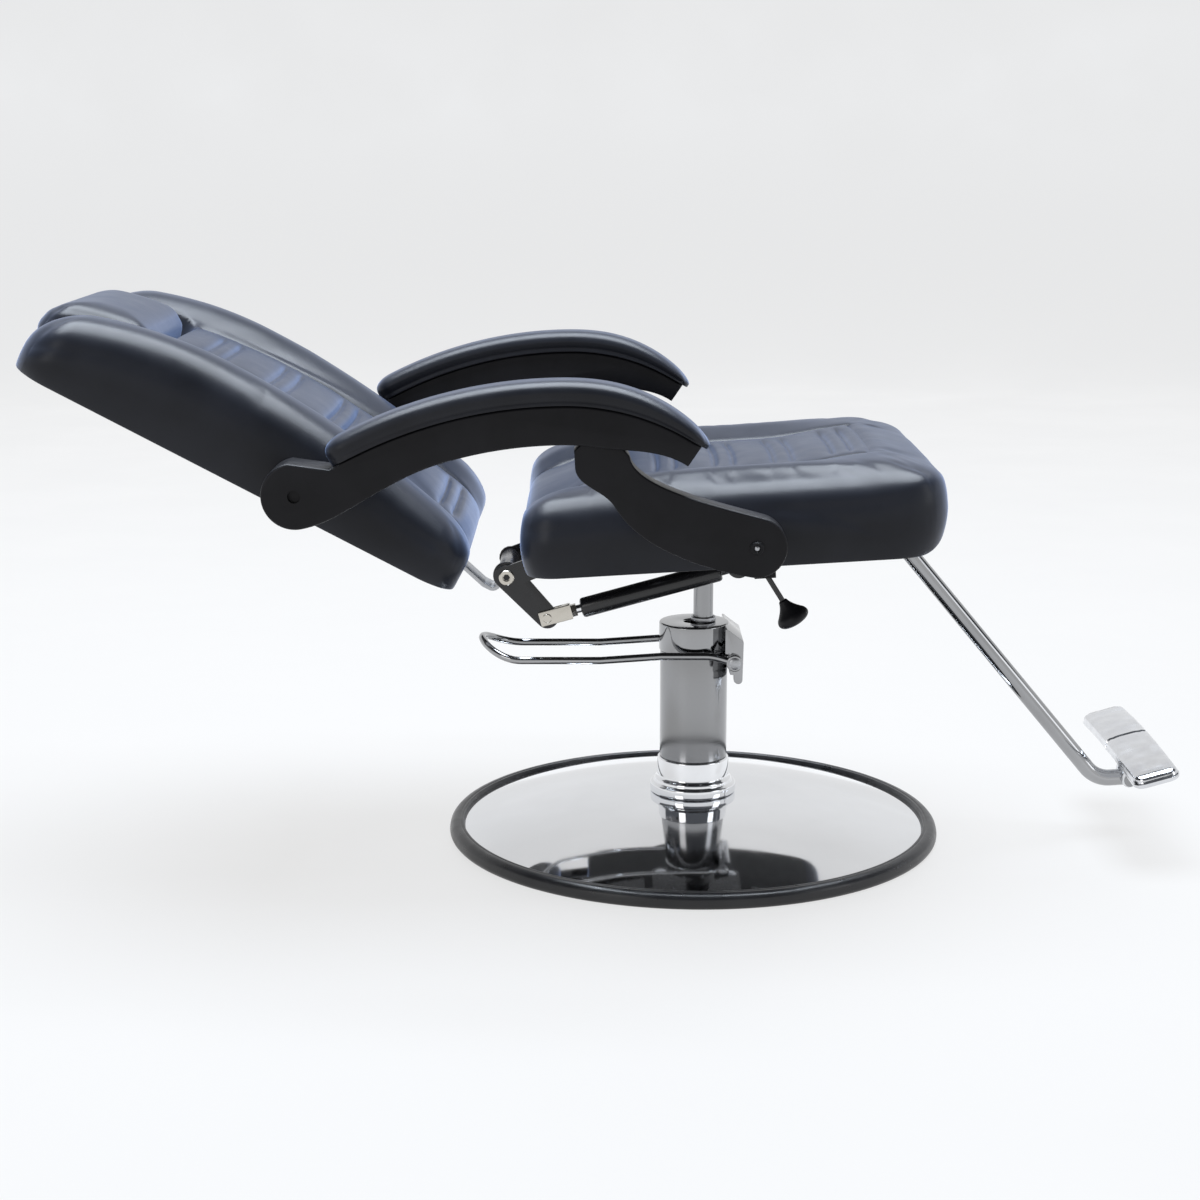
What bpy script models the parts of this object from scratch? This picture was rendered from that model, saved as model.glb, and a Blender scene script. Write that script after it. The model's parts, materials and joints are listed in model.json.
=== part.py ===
"""Reclining barber chair on a hydraulic column, as separate pieces at rest with the back fully down.

Metres and degrees. +X is the chair's front, +Y its left side, +Z up, with the origin on the floor at the
centre of the base.
"""

import math

import bmesh
import bpy
from mathutils import Matrix, Vector
from mathutils.geometry import interpolate_bezier

# Clearances
GAP = 0.0003
CUT_PAST = 0.01

# Height of the seat's underside at the ram, which the column and the hinges follow
SEAT_HEIGHT = 0.3725

# Floor base and pump column
BASE_RADIUS = 0.300
RIM_WIDTH = 0.017
RIM_HEIGHT = 0.018
RIM_ROUND = 0.006
RIM_FOOT = 0.003
BALLAST_THICKNESS = 0.008
DOME_EDGE = 0.013
DOME_RISE = 0.037
DOME_WALL = 0.003
COLLAR_RADIUS = 0.0525
COLLAR_FLANGE = 0.012
COLLAR_STEP = 0.008
COLLAR_HEIGHT = 0.044
COLLAR_NECK = 0.0025
COLLAR_SHOULDER = 0.004
COLLAR_EDGE = 0.002
SLEEVE_RADIUS = 0.041
SLEEVE_WALL = 0.003
SEAT_OVER_SLEEVE = 0.2391
SLEEVE_LENGTH = SEAT_HEIGHT - SEAT_OVER_SLEEVE
HEAD_HEIGHT = 0.035
HEAD_OVERHANG = 0.0015
HEAD_NOSE = 0.058
HEAD_DROP = 0.022
HEAD_HOOK = 0.013
HEAD_BACK = 0.019
HOOK_THICKNESS = 0.011
HOOK_ROUND = 0.005
HEAD_SLOPE_LENGTH = 0.020
HEAD_SLOPE_DROP = 0.015
HEAD_STEP = 0.001
ROD_OFFSET = 0.011
ROD_RADIUS = 0.012
CYLINDER_WALL = 0.005
CYLINDER_BORE = 0.020
PISTON_LENGTH = 0.040
PISTON_REST = 0.030
SEAL_DEPTH = 0.003
SEAL_HEIGHT = 0.008
WIPER_WIDTH = 0.003
WIPER_HEIGHT = 0.006
WIPER_EDGE = 0.0015

# Pump lever
LEVER_RADIUS = 0.0045
LEVER_CLEARANCE = 0.002
LEVER_LENGTH = 0.309
LEVER_CREST = 0.008
LEVER_KICK = 0.018
LEVER_LEVEL = 0.003
LEVER_RISE_END = 0.027
LEVER_CREST_END = 0.089
LEVER_FALL_END = 0.161
LEVER_EYE = 0.010
LEVER_PIN = 0.004
LEVER_PIVOT_FORWARD = 0.047
LEVER_PIVOT_DROP = 0.006
PIN_HEAD = 0.003

# Seat carriage
SEAT_TILT = 3.4
HUB_RADIUS = 0.022
HUB_LENGTH = 0.050
HUB_CAP = 0.012
PLATE_LENGTH = 0.170
PLATE_WIDTH = 0.200
PLATE_THICKNESS = 0.006
PLATE_CORNER = 0.015

# Seat frame and cushion, measured along the tilted seat from the ram axis
SEAT_REAR = -0.214
SEAT_FRONT = 0.270
SEAT_HALF_WIDTH = 0.245
SEAT_CREST = 0.100
SEAT_ROLL_WIDTH = 0.055
SEAT_ROLL_DROP = 0.032
SEAT_FRONT_DROP = 0.020
SEAT_FRONT_CURL = 0.030
SEAT_CURL_LENGTH = 0.040
SEAT_REAR_FALL = 0.010
SEAT_RECESS = 0.025
SEAT_PANEL_HALF = 0.150
SEAT_PANEL_FRONT = 0.195
SEAT_FRONT_CORNER = 0.065
SEAT_REAR_CORNER = 0.040
SEAT_TUCK_FIRST = -0.121
SEAT_TUCK_PITCH = 0.069
SEAT_TUCKS = 5
FRAME_BOARD = 0.015
FRAME_RAIL = 0.025
FRAME_RAIL_HEIGHT = 0.055
FRAME_MARGIN = 0.030
FRAME_END_MARGIN = 0.070
TUCK_HALF = 0.011
TUCK_FLANK = 0.010
TUCK_DEPTH = 0.006
TUCK_BOW = 0.010
PANEL_CROWN = 0.006
PANEL_SLOPE = 0.035
SIDE_DRAW = 0.010
SIDE_WIDEST = 0.6

# Backrest, measured from the recline pivot: along the back and square to it
HINGE_DROP = 0.0425
RECLINE_PIVOT = (-0.225, SEAT_HEIGHT - HINGE_DROP)
BACK_ANGLE = 27.9
BACK_REAR = -0.015
BACK_FOOT = 0.054
BACK_HEAD = 0.596
BACK_INSET = 0.005
BACK_HALF_WIDTH = SEAT_HALF_WIDTH - BACK_INSET
BACK_CREST = 0.095
BACK_CREST_AT = 0.400
BACK_FOOT_CURVE = 0.40
BACK_HEAD_CURVE = 1.10
BACK_ROLL_WIDTH = 0.055
BACK_ROLL_DROP = 0.034
BACK_FOOT_DROP = 0.025
BACK_RECESS = 0.034
BACK_PANEL_HALF = 0.150
BACK_PANEL_FADE = 0.160
BACK_CORNER = 0.045
BACK_TUCK_FIRST = 0.104
BACK_TUCK_PITCH = 0.081
BACK_TUCKS = 5
BACK_BOARD = 0.012
BACK_RAIL = 0.025
BACK_RAIL_HEIGHT = 0.050
BACK_FRAME_MARGIN = 0.035
BACK_FRAME_END = 0.025

# Headrest
HEADREST_FOOT = 0.487
HEADREST_LENGTH = 0.124
HEADREST_HALF_WIDTH = 0.124
HEADREST_REAR = 0.030
HEADREST_CREST = 0.082
HEADREST_FALL = 0.026
HEADREST_LIP = 0.020
HEADREST_ROLL = 0.024
HEADREST_CORNER = 0.035
HEADREST_EDGE = 0.008
HEADREST_SIDE_EDGE = 0.012
HEADREST_TOP_EDGE = 0.005
HEADREST_LIP_STEP = 0.002
HEADREST_ROLL_WIDTH = 0.056
HEADREST_BOARD = 0.011
HEADREST_BOARD_MARGIN = 0.022
NOTCH_SIDE = 0.006
NOTCH_FOOT = 0.009
POST_RADIUS = 0.005
POST_SPREAD = 0.060
POST_LENGTH = 0.150
GUIDE_WALL = 0.003
GUIDE_TAIL = 0.010

# Recline hinge and bell crank
HINGE_BOLT = 0.006
HINGE_BARREL = 0.0115
HINGE_HALF = 0.060
CHEEK_THICKNESS = 0.004
CHEEK_RADIUS = 0.014
BRACKET_FRONT = -0.100
BRACKET_REAR = -0.190
CHEEK_HEEL = 0.030
CHEEK_DEPTH = 0.0168
BAR_WIDTH = 0.040
BAR_THICKNESS = 0.005
BAR_TOP = 0.230
BAR_DIP = 0.030
BAR_BEND = 0.008
BAR_STEP = 0.002
BAR_RISE = 0.018
BAR_FOOT = 0.010
CRANK_LENGTH = 0.070
CRANK_ANGLE = -47.0
CRANK_THICKNESS = 0.006
CRANK_PIVOT_RADIUS = 0.0165
CRANK_END_RADIUS = 0.0135

# Gas spring
SPRING_SIDE = -0.050
ANCHOR_DROP = 0.0315
SPRING_ANCHOR = (0.050, SEAT_HEIGHT - ANCHOR_DROP)
SPRING_RADIUS = 0.012
SPRING_ROD = 0.005
SPRING_START = 0.042
SPRING_NECK = 0.008
SPRING_STROKE = 0.060
SPRING_NECK_STEP = 0.001
SPRING_EDGE = 0.003
SPRING_NECK_END = 0.0112
EYE_RADIUS = 0.0140
EYE_BORE = 0.0095
EYE_WIDTH = 0.012
CLEVIS_HEIGHT = 0.018
CLEVIS_WALL = 0.0035
CLEVIS_LENGTH = 0.030
CLEVIS_SLOT = 0.019
CLEVIS_PIN = 0.004
NUT_RADIUS = 0.008
NUT_LENGTH = 0.006
ANCHOR_CHEEK = 0.003
ANCHOR_PIN = 0.004
ANCHOR_EAR = 0.011

# Arms, measured from the pivot on the backrest
ARM_PIVOT_RISE = 0.0945
ARM_PIVOT = (-0.440, SEAT_HEIGHT + ARM_PIVOT_RISE)
ARM_LOBE = 0.036
ARM_CROWN = (0.290, 0.097)
ARM_REAR_BEND = 0.502
ARM_FRONT_BEND = 0.255
ARM_SEAM_REAR = -0.264
ARM_SEAM_FRONT = 0.152
ARM_DEPTH = 0.042
ARM_NOSE_DEPTH = 0.025
ARM_TAPER_FROM = 0.040
ARM_LOWER_REAR = -0.150
ARM_CHANNEL_REAR = -0.130
ARM_CHANNEL_FRONT = 0.100
ARM_WALL = 0.006
ARM_CLEARANCE = 0.003
ARM_BOLT = 0.006
ARM_BOSS = 0.018
PAD_HEIGHT = 0.026
PAD_REAR = 0.002
PAD_NOSE = 0.008
PAD_TAPER_FROM = 0.030
PAD_NOSE_HEIGHT = 0.009
PAD_EDGE = 0.007
PAD_END = 0.020
PAD_OVERHANG = 0.003
PAD_ROLL_WIDTH = 0.016
PAD_ROLL_DROP = 0.012

# Arm supports, measured from the pivot screw on the seat
SUPPORT_PIVOT_RISE = 0.0375
SUPPORT_PIVOT = (0.054, SEAT_HEIGHT + SUPPORT_PIVOT_RISE)
SUPPORT_LOBE = 0.033
SUPPORT_STAND_OFF = 0.022
SUPPORT_THICKNESS = 0.034
SUPPORT_PIN_RISE = 0.1655
SUPPORT_PIN_AT = (-0.112, SEAT_HEIGHT + SUPPORT_PIN_RISE)
SUPPORT_PIN = 0.004
SUPPORT_PIN_LOBE = 0.010
SUPPORT_PIN_PLAY = 0.0045
SUPPORT_PIN_REACH = 0.0035
SUPPORT_NECK_FRONT = (-0.137, 0.099)
SUPPORT_NECK_REAR = (-0.196, 0.105)
SUPPORT_WAIST = (-0.153, 0.045)
SUPPORT_HEEL = (-0.195, 0.086)
HEEL_LEAVE = (-0.193, 0.066)
WAIST_ARRIVE = (-0.165, 0.063)
WAIST_LEAVE = (-0.128, 0.0)
SUPPORT_SCREW = 0.005
SCREW_HEAD = 0.0075
SCREW_HEAD_HEIGHT = 0.004

# Gas spring release handle
RELEASE_PIVOT_DROP = 0.0085
RELEASE_AT = (0.070, SEAT_HEIGHT - RELEASE_PIVOT_DROP)
RELEASE_INSET = 0.045
RELEASE_SIDE = RELEASE_INSET - SEAT_HALF_WIDTH
RELEASE_ROD = 0.003
RELEASE_DROP = 0.038
RELEASE_ANGLE = -58.0
RELEASE_CHEEK = 0.004
RELEASE_BLOCK = 0.012
KNOB_LENGTH = 0.032
KNOB_RADIUS = 0.019
KNOB_NECK = 0.005
KNOB_CHEEK = 0.010

# Footrest
STEM_RADIUS = 0.010
STEM_START = 0.100
STEM_BEND_AT = 0.238
STEM_ANGLE = -50.0
STEM_LENGTH = 0.403
STEM_TAIL = 0.045
STEM_TAIL_ANGLE = 4.0
STEM_BEND = 0.035
SOCKET_LENGTH = 0.075
SOCKET_WALL = 0.003
FOOT_PIN = 0.004
FOOT_PIN_INSET = 0.007
FOOT_HALF_WIDTH = 0.150
FOOT_DEPTH = 0.056
FOOT_THICKNESS = 0.014
FOOT_BEVEL = 0.015
FOOT_BEVEL_DROP = 0.008
FOOT_CORNER = 0.014
FOOT_TILT = 16.0
FOOT_FORWARD = 0.012
FOOT_RISE = 0.053
FOOT_DROOP = 0.007
FOOT_CREASE = 0.006
FOOT_CREASE_WIDTH = 0.010
LUG_THICKNESS = 0.008
LUG_RADIUS = 0.009

# Facets round a turned piece
FINE = 48
ROUND = 32
SMALL = 16

# Heights up the column, from the floor
DOME_TOP = DOME_EDGE + DOME_RISE
COLLAR_BASE = DOME_TOP + GAP
SLEEVE_BASE = COLLAR_BASE + COLLAR_HEIGHT + GAP
SLEEVE_TOP = SLEEVE_BASE + SLEEVE_LENGTH
HEAD_BASE = SLEEVE_TOP + GAP
HEAD_TOP = HEAD_BASE + HEAD_HEIGHT
COLUMN_BORE = SLEEVE_RADIUS - SLEEVE_WALL
HEAD_RADIUS = SLEEVE_RADIUS + HEAD_OVERHANG
LEVER_SIDE = HEAD_RADIUS + LEVER_CLEARANCE + LEVER_RADIUS
LEVER_PIVOT_HEIGHT = HEAD_BASE - LEVER_PIVOT_DROP

# Places across the chair
SUPPORT_SIDE = SEAT_HALF_WIDTH + SUPPORT_STAND_OFF + SUPPORT_THICKNESS / 2
ARM_WIDTH = SUPPORT_THICKNESS + 2 * (ARM_CLEARANCE + ARM_WALL)
ARM_INNER = SUPPORT_SIDE - ARM_WIDTH / 2

ALONG_Y = Matrix.Rotation(math.radians(-90), 4, "X")
ALONG_X = Matrix.Rotation(math.radians(90), 4, "Y")
UPRIGHT = Matrix.Rotation(math.radians(90), 4, "X")

collections = {}


def start():
    """An empty scene with one collection for the pieces and one for the cutters."""
    for old in list(bpy.data.objects):
        bpy.data.objects.remove(old)
    for name in ("barber_chair", "cutters"):
        collections[name] = bpy.data.collections.new(name)
        bpy.context.scene.collection.children.link(collections[name])


def finish(name, colour, metallic, roughness):
    made = bpy.data.materials.new(name)
    made.use_nodes = True
    shader = made.node_tree.nodes["Principled BSDF"]
    shader.inputs["Base Color"].default_value = (*colour, 1.0)
    shader.inputs["Metallic"].default_value = metallic
    shader.inputs["Roughness"].default_value = roughness
    return made


def axis_empty(name, place, parent=None):
    """An empty on a joint's axis, whose place is given in the chair's own frame."""
    made = bpy.data.objects.new(name, None)
    made.empty_display_size = 0.05
    collections["barber_chair"].objects.link(made)
    made.matrix_basis = place
    if parent:
        made.parent = parent
        made.matrix_parent_inverse = parent.matrix_basis.inverted()
    return made


def turned_about_y(x, z, angle=0.0, y=0.0):
    """A place in the chair whose X axis points an angle above the horizontal."""
    return Matrix.Translation((x, y, z)) @ Matrix.Rotation(math.radians(-angle), 4, "Y")


def move(x=0.0, y=0.0, z=0.0):
    return Matrix.Translation((x, y, z))


def add(name, mesh, carrier, place, look):
    made = bpy.data.objects.new(name, mesh)
    made.parent = carrier
    made.matrix_basis = place
    mesh.materials.append(look)
    collections["barber_chair"].objects.link(made)
    return made


def add_shape(name, shape, carrier, place, look):
    mesh = bpy.data.meshes.new(name)
    bmesh.ops.recalc_face_normals(shape, faces=shape.faces)
    if shape.calc_volume(signed=True) < 0:
        bmesh.ops.reverse_faces(shape, faces=shape.faces)
    shape.to_mesh(mesh)
    shape.free()
    mesh.shade_smooth()
    mesh.set_sharp_from_angle(angle=math.radians(35))
    return add(name, mesh, carrier, place, look)


def rod(name, radius, low, high, carrier, place, look, sides=SMALL):
    """A round bar along its own Z axis, from low to high."""
    shape = bmesh.new()
    bmesh.ops.create_cone(
        shape, cap_ends=True, segments=sides, radius1=radius, radius2=radius, depth=high - low
    )
    bmesh.ops.translate(shape, verts=shape.verts, vec=(0, 0, (low + high) / 2))
    return add_shape(name, shape, carrier, place, look)


def block(name, low, high, carrier, look):
    """A square block between two corners."""
    shape = bmesh.new()
    bmesh.ops.create_cube(shape, size=1.0)
    size = Vector(high) - Vector(low)
    bmesh.ops.scale(shape, verts=shape.verts, vec=size)
    bmesh.ops.translate(shape, verts=shape.verts, vec=(Vector(high) + Vector(low)) / 2)
    return add_shape(name, shape, carrier, Matrix(), look)


def turned(name, profile, carrier, place, look, steps=ROUND, ring=True):
    """A turned piece. The profile runs down its outer side, and a ring's profile closes on itself."""
    mesh = bpy.data.meshes.new(name)
    count = len(profile)
    edges = [(i, (i + 1) % count) for i in range(count if ring else count - 1)]
    mesh.from_pydata([(radius, 0, height) for radius, height in profile], edges, [])
    made = add(name, mesh, carrier, place, look)
    screw = made.modifiers.new("turn", "SCREW")
    screw.steps = steps
    screw.render_steps = steps
    screw.use_merge_vertices = True
    screw.merge_threshold = 0.00001
    return made


def sleeve(name, outer, inner, low, high, carrier, place, look, steps=SMALL):
    """A plain tube along its own Z axis."""
    profile = [(outer, high), (outer, low), (inner, low), (inner, high)]
    return turned(name, profile, carrier, place, look, steps)


def headed_pin(name, radius, low, high, carrier, place, look, low_head=None, high_head=None):
    """A pin with a head past either end, each given as its radius and height."""
    profile = [(0, high)]
    if high_head:
        wide, tall = high_head
        profile = [(0, high + tall), (wide, high + tall), (wide, high)]
    profile.append((radius, high))
    profile.append((radius, low))
    if low_head:
        wide, tall = low_head
        profile += [(wide, low), (wide, low - tall), (0, low - tall)]
    else:
        profile.append((0, low))
    return turned(name, profile, carrier, place, look, SMALL, ring=False)


def mesh_of_curve(name, curve, carrier, place, look):
    """The curve as a closed mesh object, with the caps welded to the sides."""
    curve_object = bpy.data.objects.new(name, curve)
    collections["barber_chair"].objects.link(curve_object)
    graph = bpy.context.evaluated_depsgraph_get()
    mesh = bpy.data.meshes.new_from_object(curve_object.evaluated_get(graph))
    bpy.data.objects.remove(curve_object)
    bpy.data.curves.remove(curve)
    shape = bmesh.new()
    shape.from_mesh(mesh)
    bpy.data.meshes.remove(mesh)
    bmesh.ops.remove_doubles(shape, verts=shape.verts, dist=0.00001)
    return add_shape(name, shape, carrier, place, look)


def slab(name, outline, thickness, carrier, place, look):
    """A flat outline with a thickness centred on its plane."""
    curve = bpy.data.curves.new(name, "CURVE")
    curve.dimensions = "2D"
    curve.fill_mode = "BOTH"
    curve.extrude = thickness / 2
    line = curve.splines.new("POLY")
    line.points.add(len(outline) - 1)
    for point, (x, y) in zip(line.points, outline):
        point.co = (x, y, 0, 1)
    line.use_cyclic_u = True
    return mesh_of_curve(name, curve, carrier, place, look)


def tube(name, path, radius, carrier, look, fineness=3):
    """A round tube along a path."""
    curve = bpy.data.curves.new(name, "CURVE")
    curve.dimensions = "3D"
    curve.bevel_depth = radius
    curve.bevel_resolution = fineness
    curve.use_fill_caps = True
    line = curve.splines.new("POLY")
    line.points.add(len(path) - 1)
    for point, place in zip(line.points, path):
        point.co = (*place, 1)
    return mesh_of_curve(name, curve, carrier, Matrix(), look)


def combine(target, helper, operation="DIFFERENCE"):
    """Cuts a helper from a piece, or joins it on, and sets the helper aside."""
    collections["barber_chair"].objects.unlink(helper)
    collections["cutters"].objects.link(helper)
    helper.hide_render = True
    helper.display_type = "WIRE"
    step = target.modifiers.new(operation.lower(), "BOOLEAN")
    step.operation = operation
    step.solver = "EXACT"
    step.object = helper
    return target


def bore(target, radius, low, high, carrier, place, look, sides=SMALL):
    """Drills a piece along the Z axis of a place."""
    drill = rod(target.name + "_drill", radius, low, high, carrier, place, look, sides)
    return combine(target, drill)


def arc(centre, radius, first, last, steps):
    """Points on an arc between two angles, turning anticlockwise where last is the larger."""
    angles = [math.radians(first + (last - first) * i / steps) for i in range(steps + 1)]
    return [(centre[0] + radius * math.cos(a), centre[1] + radius * math.sin(a)) for a in angles]


def bezier(start_at, leave, arrive, end_at, steps):
    """Points on a curve between two places, with the handles given as places too."""
    handles = [Vector(p) for p in (start_at, leave, arrive, end_at)]
    return [tuple(p) for p in interpolate_bezier(*handles, steps + 1)]


def link_outline(first, first_radius, second, second_radius, steps=8):
    """Two rounds joined by straight flanks."""
    span = Vector(second) - Vector(first)
    heading = math.degrees(math.atan2(span[1], span[0]))
    flank = math.degrees(math.acos((first_radius - second_radius) / span.length))
    far = arc(second, second_radius, heading - flank, heading + flank, steps)
    near = arc(first, first_radius, heading + flank, heading + 360 - flank, steps)
    return far + near


def bent_path(corners, radius, steps=5):
    """A path through corners, each rounded to a bend radius."""
    corners = [Vector(corner) for corner in corners]
    path = [corners[0]]
    for before, corner, after in zip(corners, corners[1:], corners[2:]):
        back = (before - corner).normalized()
        ahead = (after - corner).normalized()
        turn = math.pi - back.angle(ahead)
        centre = corner + (back + ahead).normalized() * radius / math.cos(turn / 2)
        spoke = corner + back * radius * math.tan(turn / 2) - centre
        axis = ahead.cross(back)
        for i in range(steps + 1):
            path.append(centre + Matrix.Rotation(turn * i / steps, 3, axis) @ spoke)
    path.append(corners[-1])
    return path


def thick_path(path, thickness):
    """The outline of a flat strip bent along a path in its X and Z directions."""
    sides = ([], [])
    for i, point in enumerate(path):
        ahead = path[min(i + 1, len(path) - 1)] - path[max(i - 1, 0)]
        normal = Vector((-ahead.z, ahead.x)).normalized() * thickness / 2
        sides[0].append((point.x + normal.x, point.z + normal.y))
        sides[1].append((point.x - normal.x, point.z - normal.y))
    return sides[0] + sides[1][::-1]


def ease(value, low, high):
    """Runs smoothly from 0 at low to 1 at high."""
    share = min(max((value - low) / (high - low), 0.0), 1.0)
    return share * share * (3 - 2 * share)


def even(low, high, count):
    return [low + (high - low) * i / count for i in range(count + 1)]


def lattice(stations):
    """A box whose faces carry a grid, with lines at the given stations along each axis."""
    shape = bmesh.new()
    bmesh.ops.create_cube(shape, size=1.0)
    for axis, places in enumerate(stations):
        across = [e for e in shape.edges if abs(e.verts[0].co[axis] - e.verts[1].co[axis]) > 0.9]
        bmesh.ops.subdivide_edges(shape, edges=across, cuts=len(places) - 2, use_grid_fill=True)
    for vertex in shape.verts:
        for axis, places in enumerate(stations):
            vertex.co[axis] = places[round((vertex.co[axis] + 0.5) * (len(places) - 1))]
    return shape


def rounded_plan(along, across, low, high, half, low_corner, high_corner):
    """A point of a rectangle drawn into its rounded corners, and how far inside the edge it lies."""
    corner = low_corner if along < (low + high) / 2 else high_corner
    inner_along = min(max(along, low + corner), high - corner)
    inner_across = min(max(across, corner - half), half - corner)
    off = Vector((along - inner_along, across - inner_across))
    reach = max(abs(off[0]), abs(off[1]))
    if reach > 0:
        off *= reach / off.length
    if reach > 0 and off.length > 0:
        inside = corner - off.length
    else:
        inside = min(along - low, high - along, half - abs(across))
    return inner_along + off[0], inner_across + off[1], inside


def roll(inside, width, drop):
    """How far a padded edge has dropped at a distance inside the outline."""
    share = min(max((width - inside) / width, 0.0), 1.0)
    return drop * (1 - math.sqrt(1 - share * share))


def tuck_stations(low, high, first, pitch, count, edge):
    """Grid lines along a padded panel: close at both ends and on each pair of tucks."""
    lines = [low, low + edge * 0.15, low + edge * 0.45, low + edge]
    for i in range(count):
        centre = first + pitch * i
        near = TUCK_HALF + TUCK_FLANK
        lines += [centre - near, centre - TUCK_HALF, centre, centre + TUCK_HALF, centre + near]
    lines += [high - edge * 1.6, high - edge, high - edge * 0.5, high - edge * 0.2, high]
    return sorted(line for line in lines if low <= line <= high)


def across_stations(half, roll_width, panel, shares):
    """Grid lines across a padded piece: over its panel's edges, and at shares of the roll's width."""
    inner = panel - PANEL_SLOPE
    positive = [inner / 2, inner, (inner + panel) / 2, panel]
    positive += [half - roll_width * share for share in shares]
    return [-y for y in reversed(positive)] + [0.0] + positive


def tuck_depth(along, across, first, pitch, count, panel):
    """Depth of the sewn tucks, in pairs that bow towards the front at the middle of the panel."""
    inner = panel - PANEL_SLOPE
    inside = 1 - ease(abs(across), inner * 0.6, panel)
    depth = 0.0
    for i in range(count):
        for side in (-TUCK_HALF, TUCK_HALF):
            off = abs(along - (first + pitch * i + side))
            depth = max(depth, TUCK_DEPTH * (1 - ease(off, 0.0, TUCK_FLANK)))
    return depth * inside


def tuck_bow(across, panel, bow):
    return bow * max(0.0, 1 - (across / panel) ** 2)


def seat_top(along, across, inside):
    """Height of the seat's upper surface: side rolls round a sunk panel with sewn tucks."""
    panel = 1 - ease(abs(across), SEAT_PANEL_HALF - PANEL_SLOPE, SEAT_PANEL_HALF)
    panel *= 1 - ease(along, SEAT_PANEL_FRONT - 2 * PANEL_SLOPE, SEAT_PANEL_FRONT)
    sunk = SEAT_RECESS - PANEL_CROWN * (1 - (across / SEAT_PANEL_HALF) ** 2)
    tucks = tuck_depth(along, across, SEAT_TUCK_FIRST, SEAT_TUCK_PITCH, SEAT_TUCKS, SEAT_PANEL_HALF)
    crest = SEAT_CREST - SEAT_REAR_FALL * (1 - ease(along, SEAT_REAR, 0))
    front = ease(along, SEAT_FRONT - 2 * SEAT_ROLL_WIDTH, SEAT_FRONT)
    drop = roll(inside, SEAT_ROLL_WIDTH, SEAT_ROLL_DROP + (SEAT_FRONT_DROP - SEAT_ROLL_DROP) * front)
    return crest - drop - panel * (sunk + tucks)


def back_top(along, across, inside):
    """Height of the back's front surface over its pivot: wings round a sunk panel with sewn tucks."""
    curve = BACK_FOOT_CURVE if along < BACK_CREST_AT else BACK_HEAD_CURVE
    crest = BACK_CREST - curve * (along - BACK_CREST_AT) ** 2
    panel = 1 - ease(abs(across), BACK_PANEL_HALF - PANEL_SLOPE, BACK_PANEL_HALF)
    deep = BACK_RECESS * (0.4 + 0.6 * ease(along, BACK_FOOT, BACK_FOOT + BACK_PANEL_FADE))
    sunk = deep - PANEL_CROWN * (1 - (across / BACK_PANEL_HALF) ** 2)
    tucks = tuck_depth(along, across, BACK_TUCK_FIRST, BACK_TUCK_PITCH, BACK_TUCKS, BACK_PANEL_HALF)
    full = ease(along, BACK_FOOT, BACK_FOOT + 2 * BACK_ROLL_WIDTH)
    drop = roll(inside, BACK_ROLL_WIDTH, BACK_FOOT_DROP + (BACK_ROLL_DROP - BACK_FOOT_DROP) * full)
    return crest - drop - panel * (sunk + tucks)


def draw_in(share, amount):
    """How far a padded side is drawn in, at a share of its height, from its widest place."""
    return amount * ((share - SIDE_WIDEST) / SIDE_WIDEST) ** 2


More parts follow.
